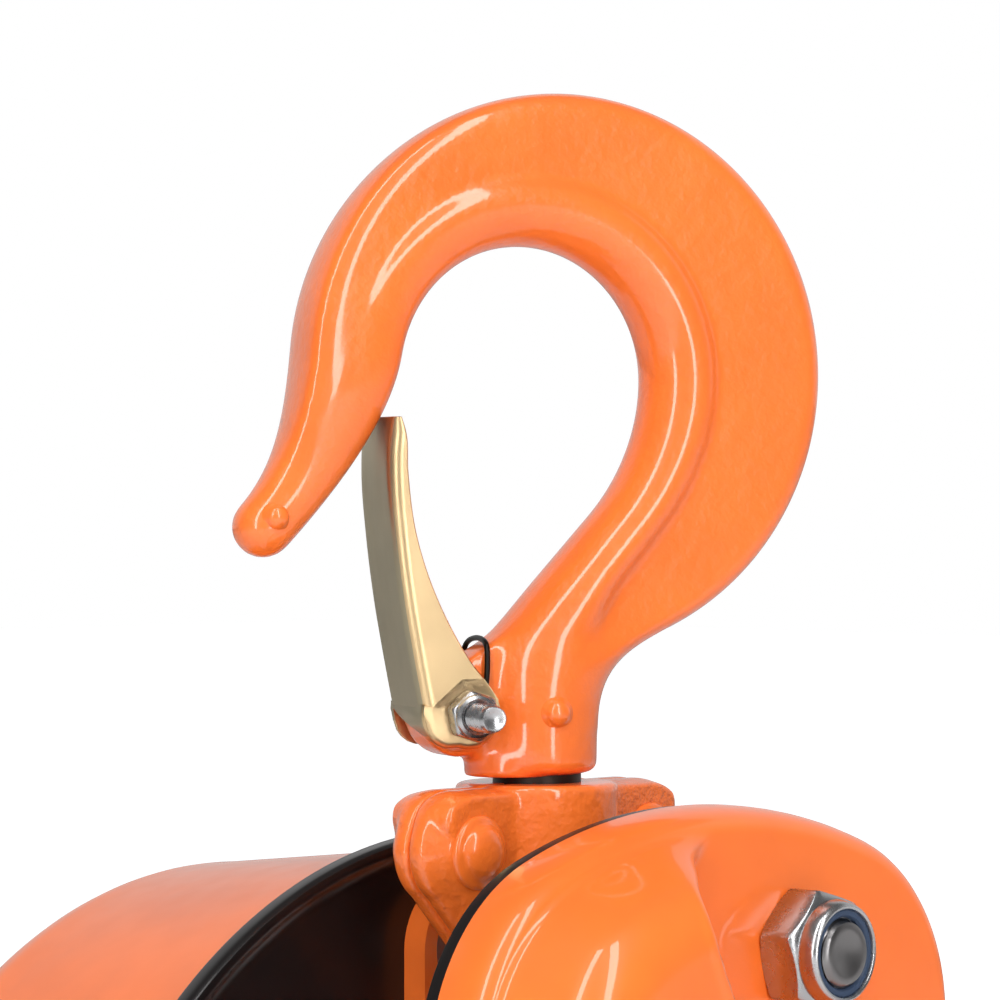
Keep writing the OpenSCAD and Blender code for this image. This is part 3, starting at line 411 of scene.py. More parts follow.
TIP_SIDE = np.array([math.cos(math.radians(TIP_LEAN)), -math.sin(math.radians(TIP_LEAN))])
TIP_C = BOWL_C + BOWL_R * np.array([-2.036, -1.11])
NECK_DIR = -along(90 - NECK_LEAN)
NECK_TOP = BOWL_C + BOWL_R * np.array([0.591, -1.02])
NECK_LOW = NECK_TOP + NECK_DIR * (NECK_TOP[1] - NECK_END) / math.cos(math.radians(NECK_LEAN))
PIVOT = np.array([-15.6, 10.9])                 # latch hinge
LUG_R, LUG_T = 7.3, 5.0                         # radius and half thickness of the latch lug
UP, ORIGIN = (0, 0, 1), (0, 0, 0)


def arm_in(t):
    """Inner edge from the bowl to the tip."""
    p, q = BOWL_C + BOWL_R * along(170), TIP_C + TIP_R * TIP_SIDE
    return bezier(p, p + 10 * along(260), q - 16.4 * TIP_DIR, q, t)


def arm_out(t):
    """Outer edge from the end of the outer arc to the tip."""
    p, q = OUTER_C + OUTER_R * along(175), TIP_C - TIP_R * TIP_SIDE
    return bezier(p, p + 12.3 * along(265), q - 8.8 * TIP_DIR, q, t)


def neck_in(t):
    """Inner edge from the bowl to the shank: a curve, the straight run to t = 0.7, and a curve."""
    t = np.asarray(t, float)
    p, q = BOWL_C + [BOWL_R, 0], np.array([-SHANK_R, FOOT_Z])
    a = bezier(p, p - [0, 9], NECK_TOP - 8 * NECK_DIR, NECK_TOP, np.clip(t / 0.35, 0, 1))
    b = lerp(NECK_TOP, NECK_LOW, np.clip((t - 0.35) / 0.35, 0, 1)[..., None])
    c = bezier(NECK_LOW, NECK_LOW + 6 * NECK_DIR, q + [0, 9], q, np.clip((t - 0.7) / 0.3, 0, 1))
    return np.where((t < 0.35)[..., None], a, np.where((t < 0.7)[..., None], b, c))


def neck_out(t):
    """Outer edge from behind the bowl to the shank: the outer arc to t = 0.62, and a curve."""
    t = np.asarray(t, float)
    p, q = OUTER_C + OUTER_R * along(OUTER_END), np.array([SHANK_R, FOOT_Z])
    a = OUTER_C + OUTER_R * along(OUTER_END * np.clip(t / 0.62, 0, 1))
    b = bezier(p, p + 10.2 * along(OUTER_END - 90), q + [0, 11], q, np.clip((t - 0.62) / 0.38, 0, 1))
    return np.where((t < 0.62)[..., None], a, b)


def round_thick(w, t, x, square):
    """Half thickness without a bead at a depth x from the inner edge of a section w wide: boxy at
    square = 0, a plain oval at square = 1."""
    g = np.clip(x / w, 0, 1)
    sine = 2 * np.sqrt(g * (1 - g))
    face = t - 0.045 * np.maximum(5.8 - (w - x), 0) ** 2
    wall = np.sqrt(1 - (1 - np.clip((w - x) / 1.4, 0, 1)) ** 2)
    boxy = np.minimum(face * wall, np.where(g < 0.5, t * sine ** 0.56, t))
    return lerp(boxy, t * sine ** 0.85, square)


def bead_side(w, t, k, share):
    """Depth and half thickness at stations k of a section w wide with a bead along its inner edge. The bead
    rises to its top at 5 and slopes to the web at 8.4; the web ends at 9 and the round back at 12."""
    a = np.radians(18 * np.minimum(k, 5))
    f = np.clip((k - 5) / 3.4, 0, 1)
    c = np.clip((k - 8.4) / 0.6, 0, 1)
    e = np.radians(30 * np.clip(k - 9, 0, 3))
    run = lerp(3.0, 6.4, share)
    depth = np.where(k < 5, BEAD_D * (1 - np.cos(a)), BEAD_D + run * f)
    dip = 0.55 * np.sin(math.pi * np.clip((f - 0.35) / 0.65, 0, 1)) ** 2
    thick = np.where(k < 5, t * np.sin(a), WEB_T / 2 + (t - WEB_T / 2) * (1 + np.cos(math.pi * f)) / 2 - dip)
    depth = np.where(k > 8.4, lerp(BEAD_D + run, w - 4, c), depth)
    depth = np.where(k > 9, w - 4 * (1 - np.sin(e)), depth)
    thick = np.where(k > 9, WEB_T / 2 * np.cos(e), thick)
    return np.stack([depth, thick], -1)


STATIONS = np.concatenate([np.linspace(0, 8.4, 34), np.linspace(9, 12, 13)])


def section(inner, outer, t, share, square=1.0):
    """Closed ring between two edge points, half as thick as t; share is how much of the bead shows."""
    w = np.linalg.norm(outer - inner)
    e = (outer - inner) / w
    bead = bead_side(w, t, STATIONS, share)
    x = lerp(bead[:, 0], w / 2 * (1 - np.cos(np.radians(15 * STATIONS))), ease(2 * math.sqrt(square)))
    s = lerp(np.stack([x, round_thick(w, t, x, square)], -1), bead, share)
    q = inner + e * s[:, :1]
    return np.concatenate([at_y(q, -s[:, 1]), at_y(q, s[:, 1])[1:-1][::-1]])


def hook_rings():
    """Sections from the ball of the tip, up the arm, over the bowl and down the neck."""
    st = []
    for a in (85, 72, 58, 44, 30, 15):
        c, r = TIP_C + TIP_R * math.sin(math.radians(a)) * TIP_DIR, TIP_R * math.cos(math.radians(a))
        st.append((c + r * TIP_SIDE, c - r * TIP_SIDE, r, 0))
    for t in np.linspace(1, 0.02, 44):
        st.append((arm_in(t), arm_out(t), lerp(BEAD_T / 2, TIP_R, ease(t)), 0, t ** 2))
    for u in np.linspace(0, 1, 72):
        a = lerp(170, 0, u)
        st.append((BOWL_C + BOWL_R * along(a), OUTER_C + OUTER_R * along(a + 5 * (1 - u)),
                   BEAD_T / 2, ease((172 - a) / 100), 0.0))
    for t in np.linspace(0.02, 1, 72):
        st.append((neck_in(t), neck_out(t), lerp(BEAD_T / 2, SHANK_R, ease(t * 1.2 - 0.2)),
                   1 - ease((t - 0.5) / 0.35)))
    return [section(*s) for s in st]


def pip_data(at, depth, r):
    """Low round pip standing on the near face, in the hook plane."""
    prof = [(r * 1.5, -1.2), (r * 1.28, 0.0), (r * 1.06, 0.28), (r * 0.97, 0.7), (r * 0.86, 1.1),
            (r * 0.66, 1.45), (r * 0.36, 1.68), (0.02, 1.75)]
    return lathe_data(prof, (0, -1, 0), (at[0], -depth, at[1]), 40)


def near_lug(p):
    """1 where the lug runs into the shank and the neck, 0 elsewhere."""
    z = p[:, 2] / MM + REACH
    c, s = math.cos(-YAW), math.sin(-YAW)
    u = (c * p[:, 0] - s * p[:, 1]) / MM
    return ease((z - 0.8) / 3) * ease((40 - z) / 12) * ease((9 - np.abs(u + 8)) / 9)


def build_hook():
    lug = [PIVOT + LUG_R * along(a) for a in np.linspace(118, 322, 40)]
    lug += [np.array(p) for p in ((-2, 0.3), (-2, 26), (-6, 26))]
    shank = [(SHANK_R - 4.2, 0), (SHANK_R - 0.9, 0.8), (SHANK_R, 1.7), (SHANK_R + 0.15, 11)]
    parts = [loft_data(hook_rings()), prism(lug, -LUG_T, LUG_T), lathe_data(shank, UP, ORIGIN, 96),
             lathe_data([(8, 0), (8, 5)], UP, (-5, 0, 0))]
    ob = joined("hook_body", [(hooked(p), f) for p, f in parts], "hook", forged_paint)
    remesh(ob, 0.55, 5)
    soften(ob, 60, near_lug)
    ob.data.shade_smooth()
    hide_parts("top_hook")
    pips = (((-0.2, 11.2), SHANK_R - 0.1, 2.2), (TIP_C + [1.0, 1.7], 4.75, 2.0))
    for k, pip in enumerate(pips):
        placed("hook_pip_%d" % k, [pip_data(*pip)], "hook", forged_paint,
               place=hooked, angle=60)
    stem = [(STEM_R, 1.2), (STEM_R, -8), (STEM_R + 3, -8), (STEM_R + 3, -16), (STEM_R - 1, -16)]
    # The stem is near black as painted shade in the gap above the yoke
    placed("hook_stem", [lathe_data(stem, UP, ORIGIN, 96)], "hook", stem_shade_steel, place=hooked)


# ---------------------------------------------------------------- latch

LATCH_HALF, SHEET, BEND_R = 8.5, 1.5, 2.3       # half width, sheet thickness, outer radius of the bend
LATCH_LOW, LATCH_TOP = 12.4, 62.0
WEB_EDGE = [(-24.3, LATCH_LOW), (-25.9, 20.5), (-27.8, 31.2), (-29.2, 42), (-30, 52.7), (-29.9, 57),
            (-29.2, LATCH_TOP)]
BACK_EDGE = [(-10.3, LATCH_LOW), (-10.7, 13.8), (-15.6, 20.5), (-21.5, 31.2), (-25.2, 42), (-26.7, 52.7),
             (-27.1, 59.5), (-27.9, LATCH_TOP)]
# Hinge end of a flange, from the web down to the round eye, and the way back up
HINGE_END = [(-22.2, 12.7), (-23.9, 12.7), (-24.0, 11.5), (-23.8, 9.6), (-23.2, 7.9), (-22.4, 6.8),
             (-21.2, 5.9), (-19.8, 5.4)]
HINGE_END += [tuple(PIVOT + 5.7 * along(a)) for a in np.linspace(252, 385, 26)]
HINGE_END += [(-10.4, 13.6), (-11.6, 15.4), (-13.0, 17.2), (-17, 17.2)]
# Web below the channel, which narrows to one side: [x, z, y of its free edge]
WEB_RUN = [(-24.2, 13.0, 8.3), (-24.35, 11.8, 6.5), (-24.3, 10.6, 3.6), (-24.1, 9.5, 0.4),
           (-23.7, 8.5, -2.6), (-23.1, 7.5, -5.6), (-22.3, 6.6, -7.2)]


def smooth_curve(points, values):
    """Cubic Hermite curve through the points: the first column over the second, at values."""
    p = np.asarray(points, float)
    x, y = p[:, 1], p[:, 0]
    slope = np.gradient(y, x)
    k = np.clip(np.searchsorted(x, values) - 1, 0, len(x) - 2)
    h = x[k + 1] - x[k]
    t = (values - x[k]) / h
    return ((2 * t ** 3 - 3 * t ** 2 + 1) * y[k] + (t ** 3 - 2 * t ** 2 + t) * h * slope[k]
            + (3 * t ** 2 - 2 * t ** 3) * y[k + 1] + (t ** 3 - t ** 2) * h * slope[k + 1])


def channel_ring(web, back, half, t):
    """Closed section of the folded sheet: out along one flange, round the web and back inside."""
    rb = min(BEND_R, 0.85 * (back - web))
    ri = max(rb - t, 0.12)
    quarter, tight = np.linspace(0, math.pi / 2, 10), np.linspace(0, math.pi / 2, 8)
    pts = [(back, -half + 0.25), (back - 0.25, -half)]
    pts += [(lerp(back - 0.25, web + rb, k), -half) for k in np.linspace(0.15, 0.95, 7)]
    pts += [(web + rb - rb * math.cos(a), -half + rb - rb * math.sin(a)) for a in quarter[::-1]]
    pts += [(web, y) for y in np.linspace(-half + rb, half - rb, 9)[1:-1]]
    pts += [(web + rb - rb * math.cos(a), half - rb + rb * math.sin(a)) for a in quarter]
    pts += [(lerp(web + rb, back - 0.25, k), half) for k in np.linspace(0.05, 0.85, 7)]
    pts += [(back - 0.25, half), (back, half - 0.25), (back, half - t + 0.2)]
    w, c = web + t, half - t
    pts += [(w + ri - ri * math.cos(a), c - ri + ri * math.sin(a)) for a in tight[::-1]]
    pts += [(w + ri - ri * math.cos(a), -c + ri - ri * math.sin(a)) for a in tight]
    pts += [(back, -half + t - 0.2)]
    return np.array(pts)


def flange_end(outline, side):
    """End of one latch flange, rounded on its outer face."""
    o = np.asarray(outline, float)
    t = np.roll(o, -1, 0) - np.roll(o, 1, 0)
    n = np.stack([t[:, 1], -t[:, 0]], -1)
    n /= np.linalg.norm(n, axis=1)[:, None] + 1e-9
    rows = [(8.5, 1.1), (8.44, 0.75), (8.3, 0.4), (8.05, 0.12), (7.7, 0.0), (7.15, 0.0), (7.0, 0.15)]
    full = np.clip((11.5 - o[:, 1]) / 2.0, 0, 1)[:, None]
    return loft_data([at_y(o - n * d * full, side * y) for y, d in rows])


def web_run():
    """Rings of the web below the channel, each across the sheet at one point of the run."""
    rings = []
    for x, z, y in WEB_RUN:
        q = np.array([x, z])
        n = (q - PIVOT) / np.linalg.norm(q - PIVOT)
        ring = [(-8.3, 0.5), (-7.9, 0.15), (-7.2, 0.0), (y - 0.4, 0.0), (y - 0.1, 0.1), (y, 0.4), (y, 0.7),
                (y - 0.3, 1.0), (-8.2, 1.0)]
        rings.append([(x - n[0] * d, across, z - n[1] * d) for across, d in ring])
    return rings


def build_latch():
    z = np.concatenate([np.linspace(LATCH_LOW, LATCH_TOP - 0.4, 60), [LATCH_TOP - 0.1, LATCH_TOP]])
    web, back = smooth_curve(WEB_EDGE, z), smooth_curve(BACK_EDGE, z)
    rings = [channel_ring(w, b, LATCH_HALF, SHEET) for w, b in zip(web, back)]
    rings[-1] += (rings[-1].mean(0) - rings[-1]) * 0.02
    channel = [np.column_stack([r, np.full(len(r), h)]) for r, h in zip(rings, z)]
    parts = [loft_data(channel), flange_end(HINGE_END, -1), flange_end(HINGE_END, 1), loft_data(web_run())]
    ob = joined("latch_sheet", [(hooked(p), f) for p, f in parts], "latch", yellow, 40)
    # The web's outer face takes the darker zinc as painted shade
    ob.data.materials.append(shaded_web_zinc)
    turn = Matrix.Rotation(-YAW, 3, "Z")
    for f in ob.data.polygons:
        if (turn @ f.normal).x < -0.8:          # the web's outer face, in darker zinc as painted shade
            f.material_index = 1
    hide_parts("latch")


def sweep_data(points, r, n=12):
    """Round wire through points, smoothed."""
    p = dense(points)
    t = np.gradient(p, axis=0)
    t /= np.linalg.norm(t, axis=1)[:, None]
    u = np.cross(t[0], [0.3, 1, 0.2])
    a = circle(n)
    rings = []
    for k in range(len(p)):
        u = u - t[k] * (u @ t[k])
        u /= np.linalg.norm(u)
        v = np.cross(t[k], u)
        rings.append(p[k] + r * (np.cos(a)[:, None] * u + np.sin(a)[:, None] * v))
    return loft_data(rings)


def build_spring():
    """Coils on the hinge and the loop up the neck stay with the hook; the legs go with the latch."""
    y, r, wire = 5.7, 3.35, 0.5
    coil = [(PIVOT[0] + r * math.cos(a), -y, PIVOT[1] + r * math.sin(a))
            for a in np.radians(np.arange(200, 385, 15))]
    near = coil + [(-11.6, -y - 0.5, 16.5), (-11.5, -y - 0.4, 20.4), (-11.3, -5.5, 22.7),
                   (-11.1, -3.4, 23.7), (-11, 0, 24.1)]
    leg = [(-24.6, -y, 28), (-22.6, -y, 21)] + coil[:5]
    mirrored = [[(a, -b, c) for a, b, c in run] for run in (near, leg)]
    for name, paths, body in (("spring_wire", [near + mirrored[0][-2::-1]], "hook"),
                              ("spring_legs", [leg, mirrored[1]], "latch")):
        placed(name, [sweep_data(q, wire) for q in paths], body, spring_black,
               "latch_spring", hooked, 80)


# ---------------------------------------------------------------- nuts, bolts and studs

THREAD_R, PITCH, THREAD_D = 5.95, 1.75, 0.75    # M12: radius, pitch, depth
M12_BORE, M12_FLATS, NUT_TURN = 6.0, 19, 14     # bore radius, width across flats, turn in degrees
M5_FLATS, BOLT_TURN = 8, 12
BOLT_R = 2.45                                   # plain shank of the latch bolt
STAYS = [(46.0, SHAFT_Z + 18), (-46.0, SHAFT_Z - 18)]
STUDS = [(17.5, -28.5), (-17.5, 2 * SHAFT_Z + 28.5)]
NUT_Y = -43.5                                   # rear face of the lock nuts
STUD_END = NUT_Y - 11.5
STUD_ROOT = -30                                 # end of the thread, inside the side plate
SIDE_FRONT, SIDE_REAR = -26.0, 15.0             # inner faces of the side plates
CASE_FRONT, CASE_REAR = -34.0, 23.0             # case plates: front of the first, rear of the second


def hex_data(flats, y0, y1, at, turn, bore, n=96):
    """Hexagonal nut along Y with its corners turned off at both ends."""
    a = circle(n)
    d = np.mod(a - math.radians(turn) + math.pi / 6, math.pi / 3) - math.pi / 6
    edge = np.minimum(flats / 2 / np.cos(d), flats / 2 * 1.135)
    face = flats / 2 * 0.95
    drop = (edge - face) * 0.55
    rows = []
    for y, sign in ((y0, 1), (y1, -1)):
        end = [(bore, y), (face, y), (edge - 0.12, y + sign * (drop - 0.05)), (edge, y + sign * (drop + 0.16))]
        rows += end[::sign]
    return loft_data([ring_y(r, y, at, n) for r, y in rows], hoop=True)


def thread_data(r, y0, y1, at, pitch, depth, dish=0.0, n=48):
    """Threaded rod along Y; its first end may be dished."""
    m = max(int((y1 - y0) / pitch * 8), 4)
    a = circle(n)
    rows = [(0.02, y0 + dish), (r * 0.45, y0 + dish * 0.75), (r * 0.62, y0 + 0.02), (r * 0.80, y0),
            (r * 0.88, y0 + 0.18)]
    for k in range(m + 1):
        y = lerp(y0 + 0.9, y1 - 0.9, k / m)
        tri = np.abs(np.mod(y / pitch - a / (2 * math.pi), 1) - 0.5) * 2
        rows.append((r - depth * np.clip(tri * 1.25 - 0.12, 0, 1), y))
    rows += [(r * 0.88, y1 - 0.18), (r * 0.78, y1), (0.02, y1)]
    return loft_data([ring_y(rr, y, at, n) for rr, y in rows])


def build_latch_bolt():
    rod = [(0.02, -8.2), (BOLT_R, -8.2), (BOLT_R, 8.6), (0.02, 8.6)]
    placed("latch_bolt_rod", [thread_data(2.5, -20.2, -8.0, PIVOT, 0.8, 0.3, 0.25), lathe_y(rod, PIVOT),
                              hex_data(M5_FLATS, 8.5, 12.0, PIVOT, BOLT_TURN, 0.02)],
           "hook", zinc, "latch_bolt", hooked)
    collar = [(BOLT_R, -11.6), (2.6, -12.55), (3.1, -12.7), (3.65, -12.5), (3.85, -12.0), (3.85, -11.2),
              (BOLT_R, -11.2)]
    placed("latch_lock_nut", [hex_data(M5_FLATS, -11.9, -8.5, PIVOT, BOLT_TURN, 2.4), lathe_y(collar, PIVOT)],
           "hook", zinc, "latch_nut", hooked)


def nyloc_data(at):
    """Lock nut with its turned collar; the nylon ring is a piece of its own."""
    collar = [(M12_BORE, 7.4), (8.9, 7.4), (9.0, 8.6), (8.75, 9.6), (8.62, 10.3), (8.3, 10.95), (7.9, 11.2),
              (7.55, 11.1), (7.4, 10.8), (7.4, 9.6), (M12_BORE, 9.6)]
    nylon_ring = [(7.42, 9.4), (7.42, 10.55), (7.1, 10.75), (6.4, 10.7), (6.02, 10.3), (6.02, 9.4)]
    flange, ring = (lathe_y([(r, NUT_Y - s) for r, s in profile], at, 96) for profile in (collar, nylon_ring))
    return [hex_data(M12_FLATS, NUT_Y - 8.0, NUT_Y, at, NUT_TURN, M12_BORE), flange], ring


def stud_thread(at):
    return thread_data(THREAD_R, STUD_END, STUD_ROOT, at, PITCH, THREAD_D, 0.5)


def build_fasteners():
    bodies, rings = [], []
    for at in STAYS + STUDS:
        b, r = nyloc_data(at)
        bodies += b
        rings.append(r)
    placed("cover_lock_nuts", bodies, "frame", zinc, "gear_cover_nuts")
    placed("nylon_rings", rings, "frame", nylon)
    stay = [(5.9, -30.5), (5.9, SIDE_FRONT), (8.6, SIDE_FRONT), (9, SIDE_FRONT + 0.4), (9, SIDE_REAR - 0.4),
            (8.6, SIDE_REAR), (5.9, SIDE_REAR), (5.9, 22.5)]
    placed("stay_bolt_rods", [stud_thread(at) for at in STAYS]
           + [thread_data(THREAD_R, 22, 32, at, PITCH, THREAD_D) for at in STAYS]
           + [lathe_y(stay, at) for at in STAYS], "frame", steel, "stay_bolts")
    placed("stay_hex_nuts", [hex_data(M12_FLATS, CASE_REAR, CASE_REAR + 7.5, at, NUT_TURN, M12_BORE)
                             for at in STAYS], "frame", zinc, "stay_nuts")
    root = [(5.9, -30.5), (5.9, SIDE_FRONT), (6.9, SIDE_FRONT), (7.2, SIDE_FRONT + 0.3),
            (7.0, SIDE_FRONT + 1.6), (6.2, SIDE_FRONT + 2), (0.02, SIDE_FRONT + 2)]
    placed("cover_stud_rods", [stud_thread(at) for at in STUDS] + [lathe_y(root, at) for at in STUDS],
           "frame", steel, "cover_studs")


# ---------------------------------------------------------------- yoke

LOBE, LOBE_R = (23.1, -11.7), 9.5               # ear round a rivet
RIVET = (22.0, -11.9)
PIN_Z, BOSS_R = -31.0, 13.0                     # boss round the suspension pin
BARREL_R = 14.2                                 # barrel round the hook's stem


def yoke_ring(d):
    """Outline of a yoke half at an inset: two ears and the boss, with tangents between them."""
    dx, dz = -LOBE[0], LOBE[1] - PIN_Z
    l = math.hypot(dx, dz)
    v = 90 - (math.degrees(math.atan2(dz, -dx)) - math.degrees(math.asin((BOSS_R - LOBE_R) / l)))

    def arc(c, r, a0, a1):
        a = np.linspace(a0, a1, 26)
        flat = (0.8 * d + 0.75) * ease((np.sin(np.radians(a)) - 0.35) / 0.5)    # the top stays square
        return [np.array(c) + (r + f) * along(b) for b, f in zip(a, flat)]
    return np.array(arc(LOBE, LOBE_R - d, -v, 88) + arc((-LOBE[0], LOBE[1]), LOBE_R - d, 92, 180 + v)
                    + arc((0, PIN_Z), BOSS_R - d, 180 + v, 360 - v))


def near_barrel(p):
    """1 round the barrel of a yoke half, 0 at the split, the top and the ears."""
    x, y = np.abs(p[:, 0]) / MM, np.abs(p[:, 1]) / MM
    z = p[:, 2] / MM + REACH
    return ease((y - 1.2) / 2) * ease((-2.2 - z) / 1.5) * ease((19 - x) / 3)


def build_yoke():
    rows = [(0.0, 0.7), (0.35, 0.25), (0.9, 0.0), (2.6, 0.0), (3.1, 0.15), (6.2, 3.3), (6.7, 3.9), (7.0, 5.0)]
    prof = [(BARREL_R - 0.9, -1.1), (BARREL_R - 0.3, -1.35), (BARREL_R, -1.9), (BARREL_R, -18.4),
            (BARREL_R - 0.4, -19.1), (BARREL_R - 1.2, -19.5)]
    for face, start, name, node in ((-1, 180, "yoke_half_front", "yoke_front_half"),
                                    (1, 0, "yoke_half_rear", "yoke_rear_half")):
        plate = loft_data([at_y(yoke_ring(d), y * face) for y, d in rows])
        a = np.radians(np.linspace(start, start + 180, 60))
        barrel = loft_data([np.stack([r * np.cos(a), r * np.sin(a), np.full(60, z)], -1) for r, z in prof])
        ob = joined(name, [(foot(p), f) for p, f in (plate, barrel)], "yoke", cast_paint)
        remesh(ob, 0.5, 4)
        soften(ob, 22, near_barrel)
        ob.data.shade_smooth()
        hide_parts(node)


def build_rivets():
    half = [(6.3, 6.4), (6.3, 7.1), (6.1, 7.5), (5.75, 7.75), (5.2, 7.9), (4.8, 8.1), (4.5, 8.5), (4.15, 9.0),
            (3.5, 9.45), (2.5, 9.8), (1.3, 9.98), (0.02, 10.0)]
    prof = [(r, -y) for r, y in half[::-1]] + half
    placed("rivet_heads", [lathe_y(prof, (sx * RIVET[0], RIVET[1]), 64) for sx in (-1, 1)], "yoke",
           forged_paint, "yoke_rivets", angle=60)


# ---------------------------------------------------------------- gear cover

HALF_W, CORNER_R, CROWN_R, TOP_GAP = 62.5, 35.0, 114.0, 3.6
CROWN_Z = -TOP_GAP - CROWN_R
CROWN_A = math.degrees(math.acos((HALF_W - CORNER_R) / (CROWN_R - CORNER_R)))
CORNER_Z = CROWN_Z + (CROWN_R - CORNER_R) * math.sin(math.radians(CROWN_A))
FLANGE = 0.35                                   # thickness of the pressing's flange
PAD_H, PAD_EDGE, PAD_POWER = 9.5, 4.6, 2.5      # lower level: height, width and fullness of its edge
DOME_H, DOME_R, LEAN = 27.0, 11.0, 20           # dome: height, edge radius, lean of its wall in degrees
LIP_H, LIP_AT, LIP_W = 0.45, 1.3, 0.9           # lip along the crease
# Crease between dome and lower level, seen from the front
CREASE = [(-14.5, 6), (-15.6, -4), (-18.2, -11), (-22.4, -15), (-24.6, -19.5), (-23.4, -24.5),
          (-20.6, -30), (-17.8, -35.5), (-14, -43), (-5, -51), (10, -57), (30, -61), (52, -63.5), (80, -64.5)]


def cover_ring(d):
    """Outline of the gear cover at an inset: crowned ends, four corners and straight sides."""
    cx, cz, lz = HALF_W - CORNER_R, CORNER_Z, 2 * SHAFT_Z - CORNER_Z
    ck, lk = CROWN_Z, 2 * SHAFT_Z - CROWN_Z

    def arc(c, r, a0, a1, n):
        return [np.array(c) + r * along(a) for a in np.linspace(a0, a1, n, endpoint=False)]

    def side(x, z0, z1):
        return [np.array([x, z]) for z in np.linspace(z0, z1, 64, endpoint=False)]
    r, k, turn = CORNER_R - d, CROWN_R - d, CROWN_A
    return np.array(arc((cx, cz), r, 0, turn, 44) + arc((0, ck), k, turn, 180 - turn, 90)
                    + arc((-cx, cz), r, 180 - turn, 180, 44) + side(-HALF_W + d, cz, lz)
                    + arc((-cx, lz), r, 180, 180 + turn, 44) + arc((0, lk), k, 180 + turn, 360 - turn, 90)
                    + arc((cx, lz), r, 360 - turn, 360, 44) + side(HALF_W - d, lz, cz))


def side_of(curve, p):
    """Distance of points from an open curve, positive to the left of its run and negative to the right."""
    best = np.full(len(p), 1e9)
    sign = np.ones(len(p))
    for a, b in zip(curve[:-1], curve[1:]):
        ab = b - a
        t = np.clip(((p - a) @ ab) / (ab @ ab), 0, 1)
        v = p - (a + t[:, None] * ab)
        d = np.hypot(v[:, 0], v[:, 1])
        hit = d < best
        best = np.where(hit, d, best)
        sign = np.where(hit, np.sign(ab[0] * v[:, 1] - ab[1] * v[:, 0]), sign)
    return best * sign


def pad_height(d):
    """Height of the lower level above the flange at an inset from the outline."""
    u = np.clip(d / PAD_EDGE, 0, 1)
    return PAD_H * (1 - (1 - u) ** PAD_POWER) ** (1 / PAD_POWER)


def dome_height(d):
    """Height of the dome: a leaning wall that rounds over into the flat top."""
    lean = math.radians(LEAN)
    foot_w = math.tan(lean) * (DOME_H - DOME_R + DOME_R * math.sin(lean))
    c = foot_w + DOME_R * math.cos(lean)
    top = DOME_H - DOME_R + np.sqrt(np.maximum(DOME_R * DOME_R - np.clip(c - d, 0, DOME_R) ** 2, 0))
    return np.where(d < foot_w, d / math.tan(lean), top)


def build_gear_cover():
    crease = dense(CREASE)
    lower = np.stack([-crease[:, 0], 2 * SHAFT_Z - crease[:, 1]], -1)    # half a turn about the shaft
    insets = np.concatenate([[0, 0.02, 0.08, 0.2, 0.4, 0.7], np.arange(1.1, 20.6, 0.55)])
    rings = [(cover_ring(d), d) for d in insets]
    last = rings[-1][0]
    centre = np.array([0.0, SHAFT_Z])
    rings += [(centre + (last - centre) * k, 30.0) for k in np.linspace(1, 0.004, 110)[1:]]
    out = [at_y(rings[0][0], CASE_FRONT)]
    for r, d in rings:
        beyond = np.maximum(side_of(crease, r), side_of(lower, r))
        fade = 1 - ease((d - 2) / 14)           # the crease softens towards the outline
        dome = 1 - ease((beyond + 0.6 + 4 * fade) / (5.5 + 12 * fade))
        lip = LIP_H * np.exp(-((beyond + LIP_AT) / LIP_W) ** 2) * (1 - fade)
        h = lerp(pad_height(d), np.maximum(dome_height(d), pad_height(d)), dome) + lip
        out.append(at_y(r, CASE_FRONT - FLANGE - h))
    placed("cover_pressing", [loft_data(out)], "frame", sheet_paint, "gear_cover", angle=70)
    band = [(-FLANGE, 0.75), (0, 0.5), (0.3, 0.3), (2.7, 0.3), (2.9, 0.45), (3.0, 0.8)]
    placed("cover_backing", [loft_data([at_y(cover_ring(d), CASE_FRONT + y) for y, d in band])],
           "frame", black_paint, "gear_case_plate")


# ---------------------------------------------------------------- wheel cover

WHEEL_R, WHEEL_DEPTH, DRAFT, EDGE_R, WALL = 92.2, 71.5, 6.0, 14.0, 2.0
# Slots for the hand chain, one on each side: a box with rounded edges
SLOT_X, SLOT_Y, SLOT_Z, SLOT_R = (58.0, 80.0), (32.0, 68.0), (-205.0, -121.0), 5


def slot_data(side):
    x0, x1 = sorted(side * x for x in SLOT_X)
    y0, y1 = SLOT_Y
    x0, x1, y0, y1 = x0 + SLOT_R, x1 - SLOT_R, y0 + SLOT_R, y1 - SLOT_R
    outline = []
    for cx, cy, start in ((x1, y1, 0), (x0, y1, 90), (x0, y0, 180), (x1, y0, 270)):
        outline += [(cx + SLOT_R * math.cos(a), cy + SLOT_R * math.sin(a))
                    for a in (math.radians(start + k) for k in range(0, 91, 15))]
    return loft_data([[(x, y, z) for x, y in outline] for z in SLOT_Z])


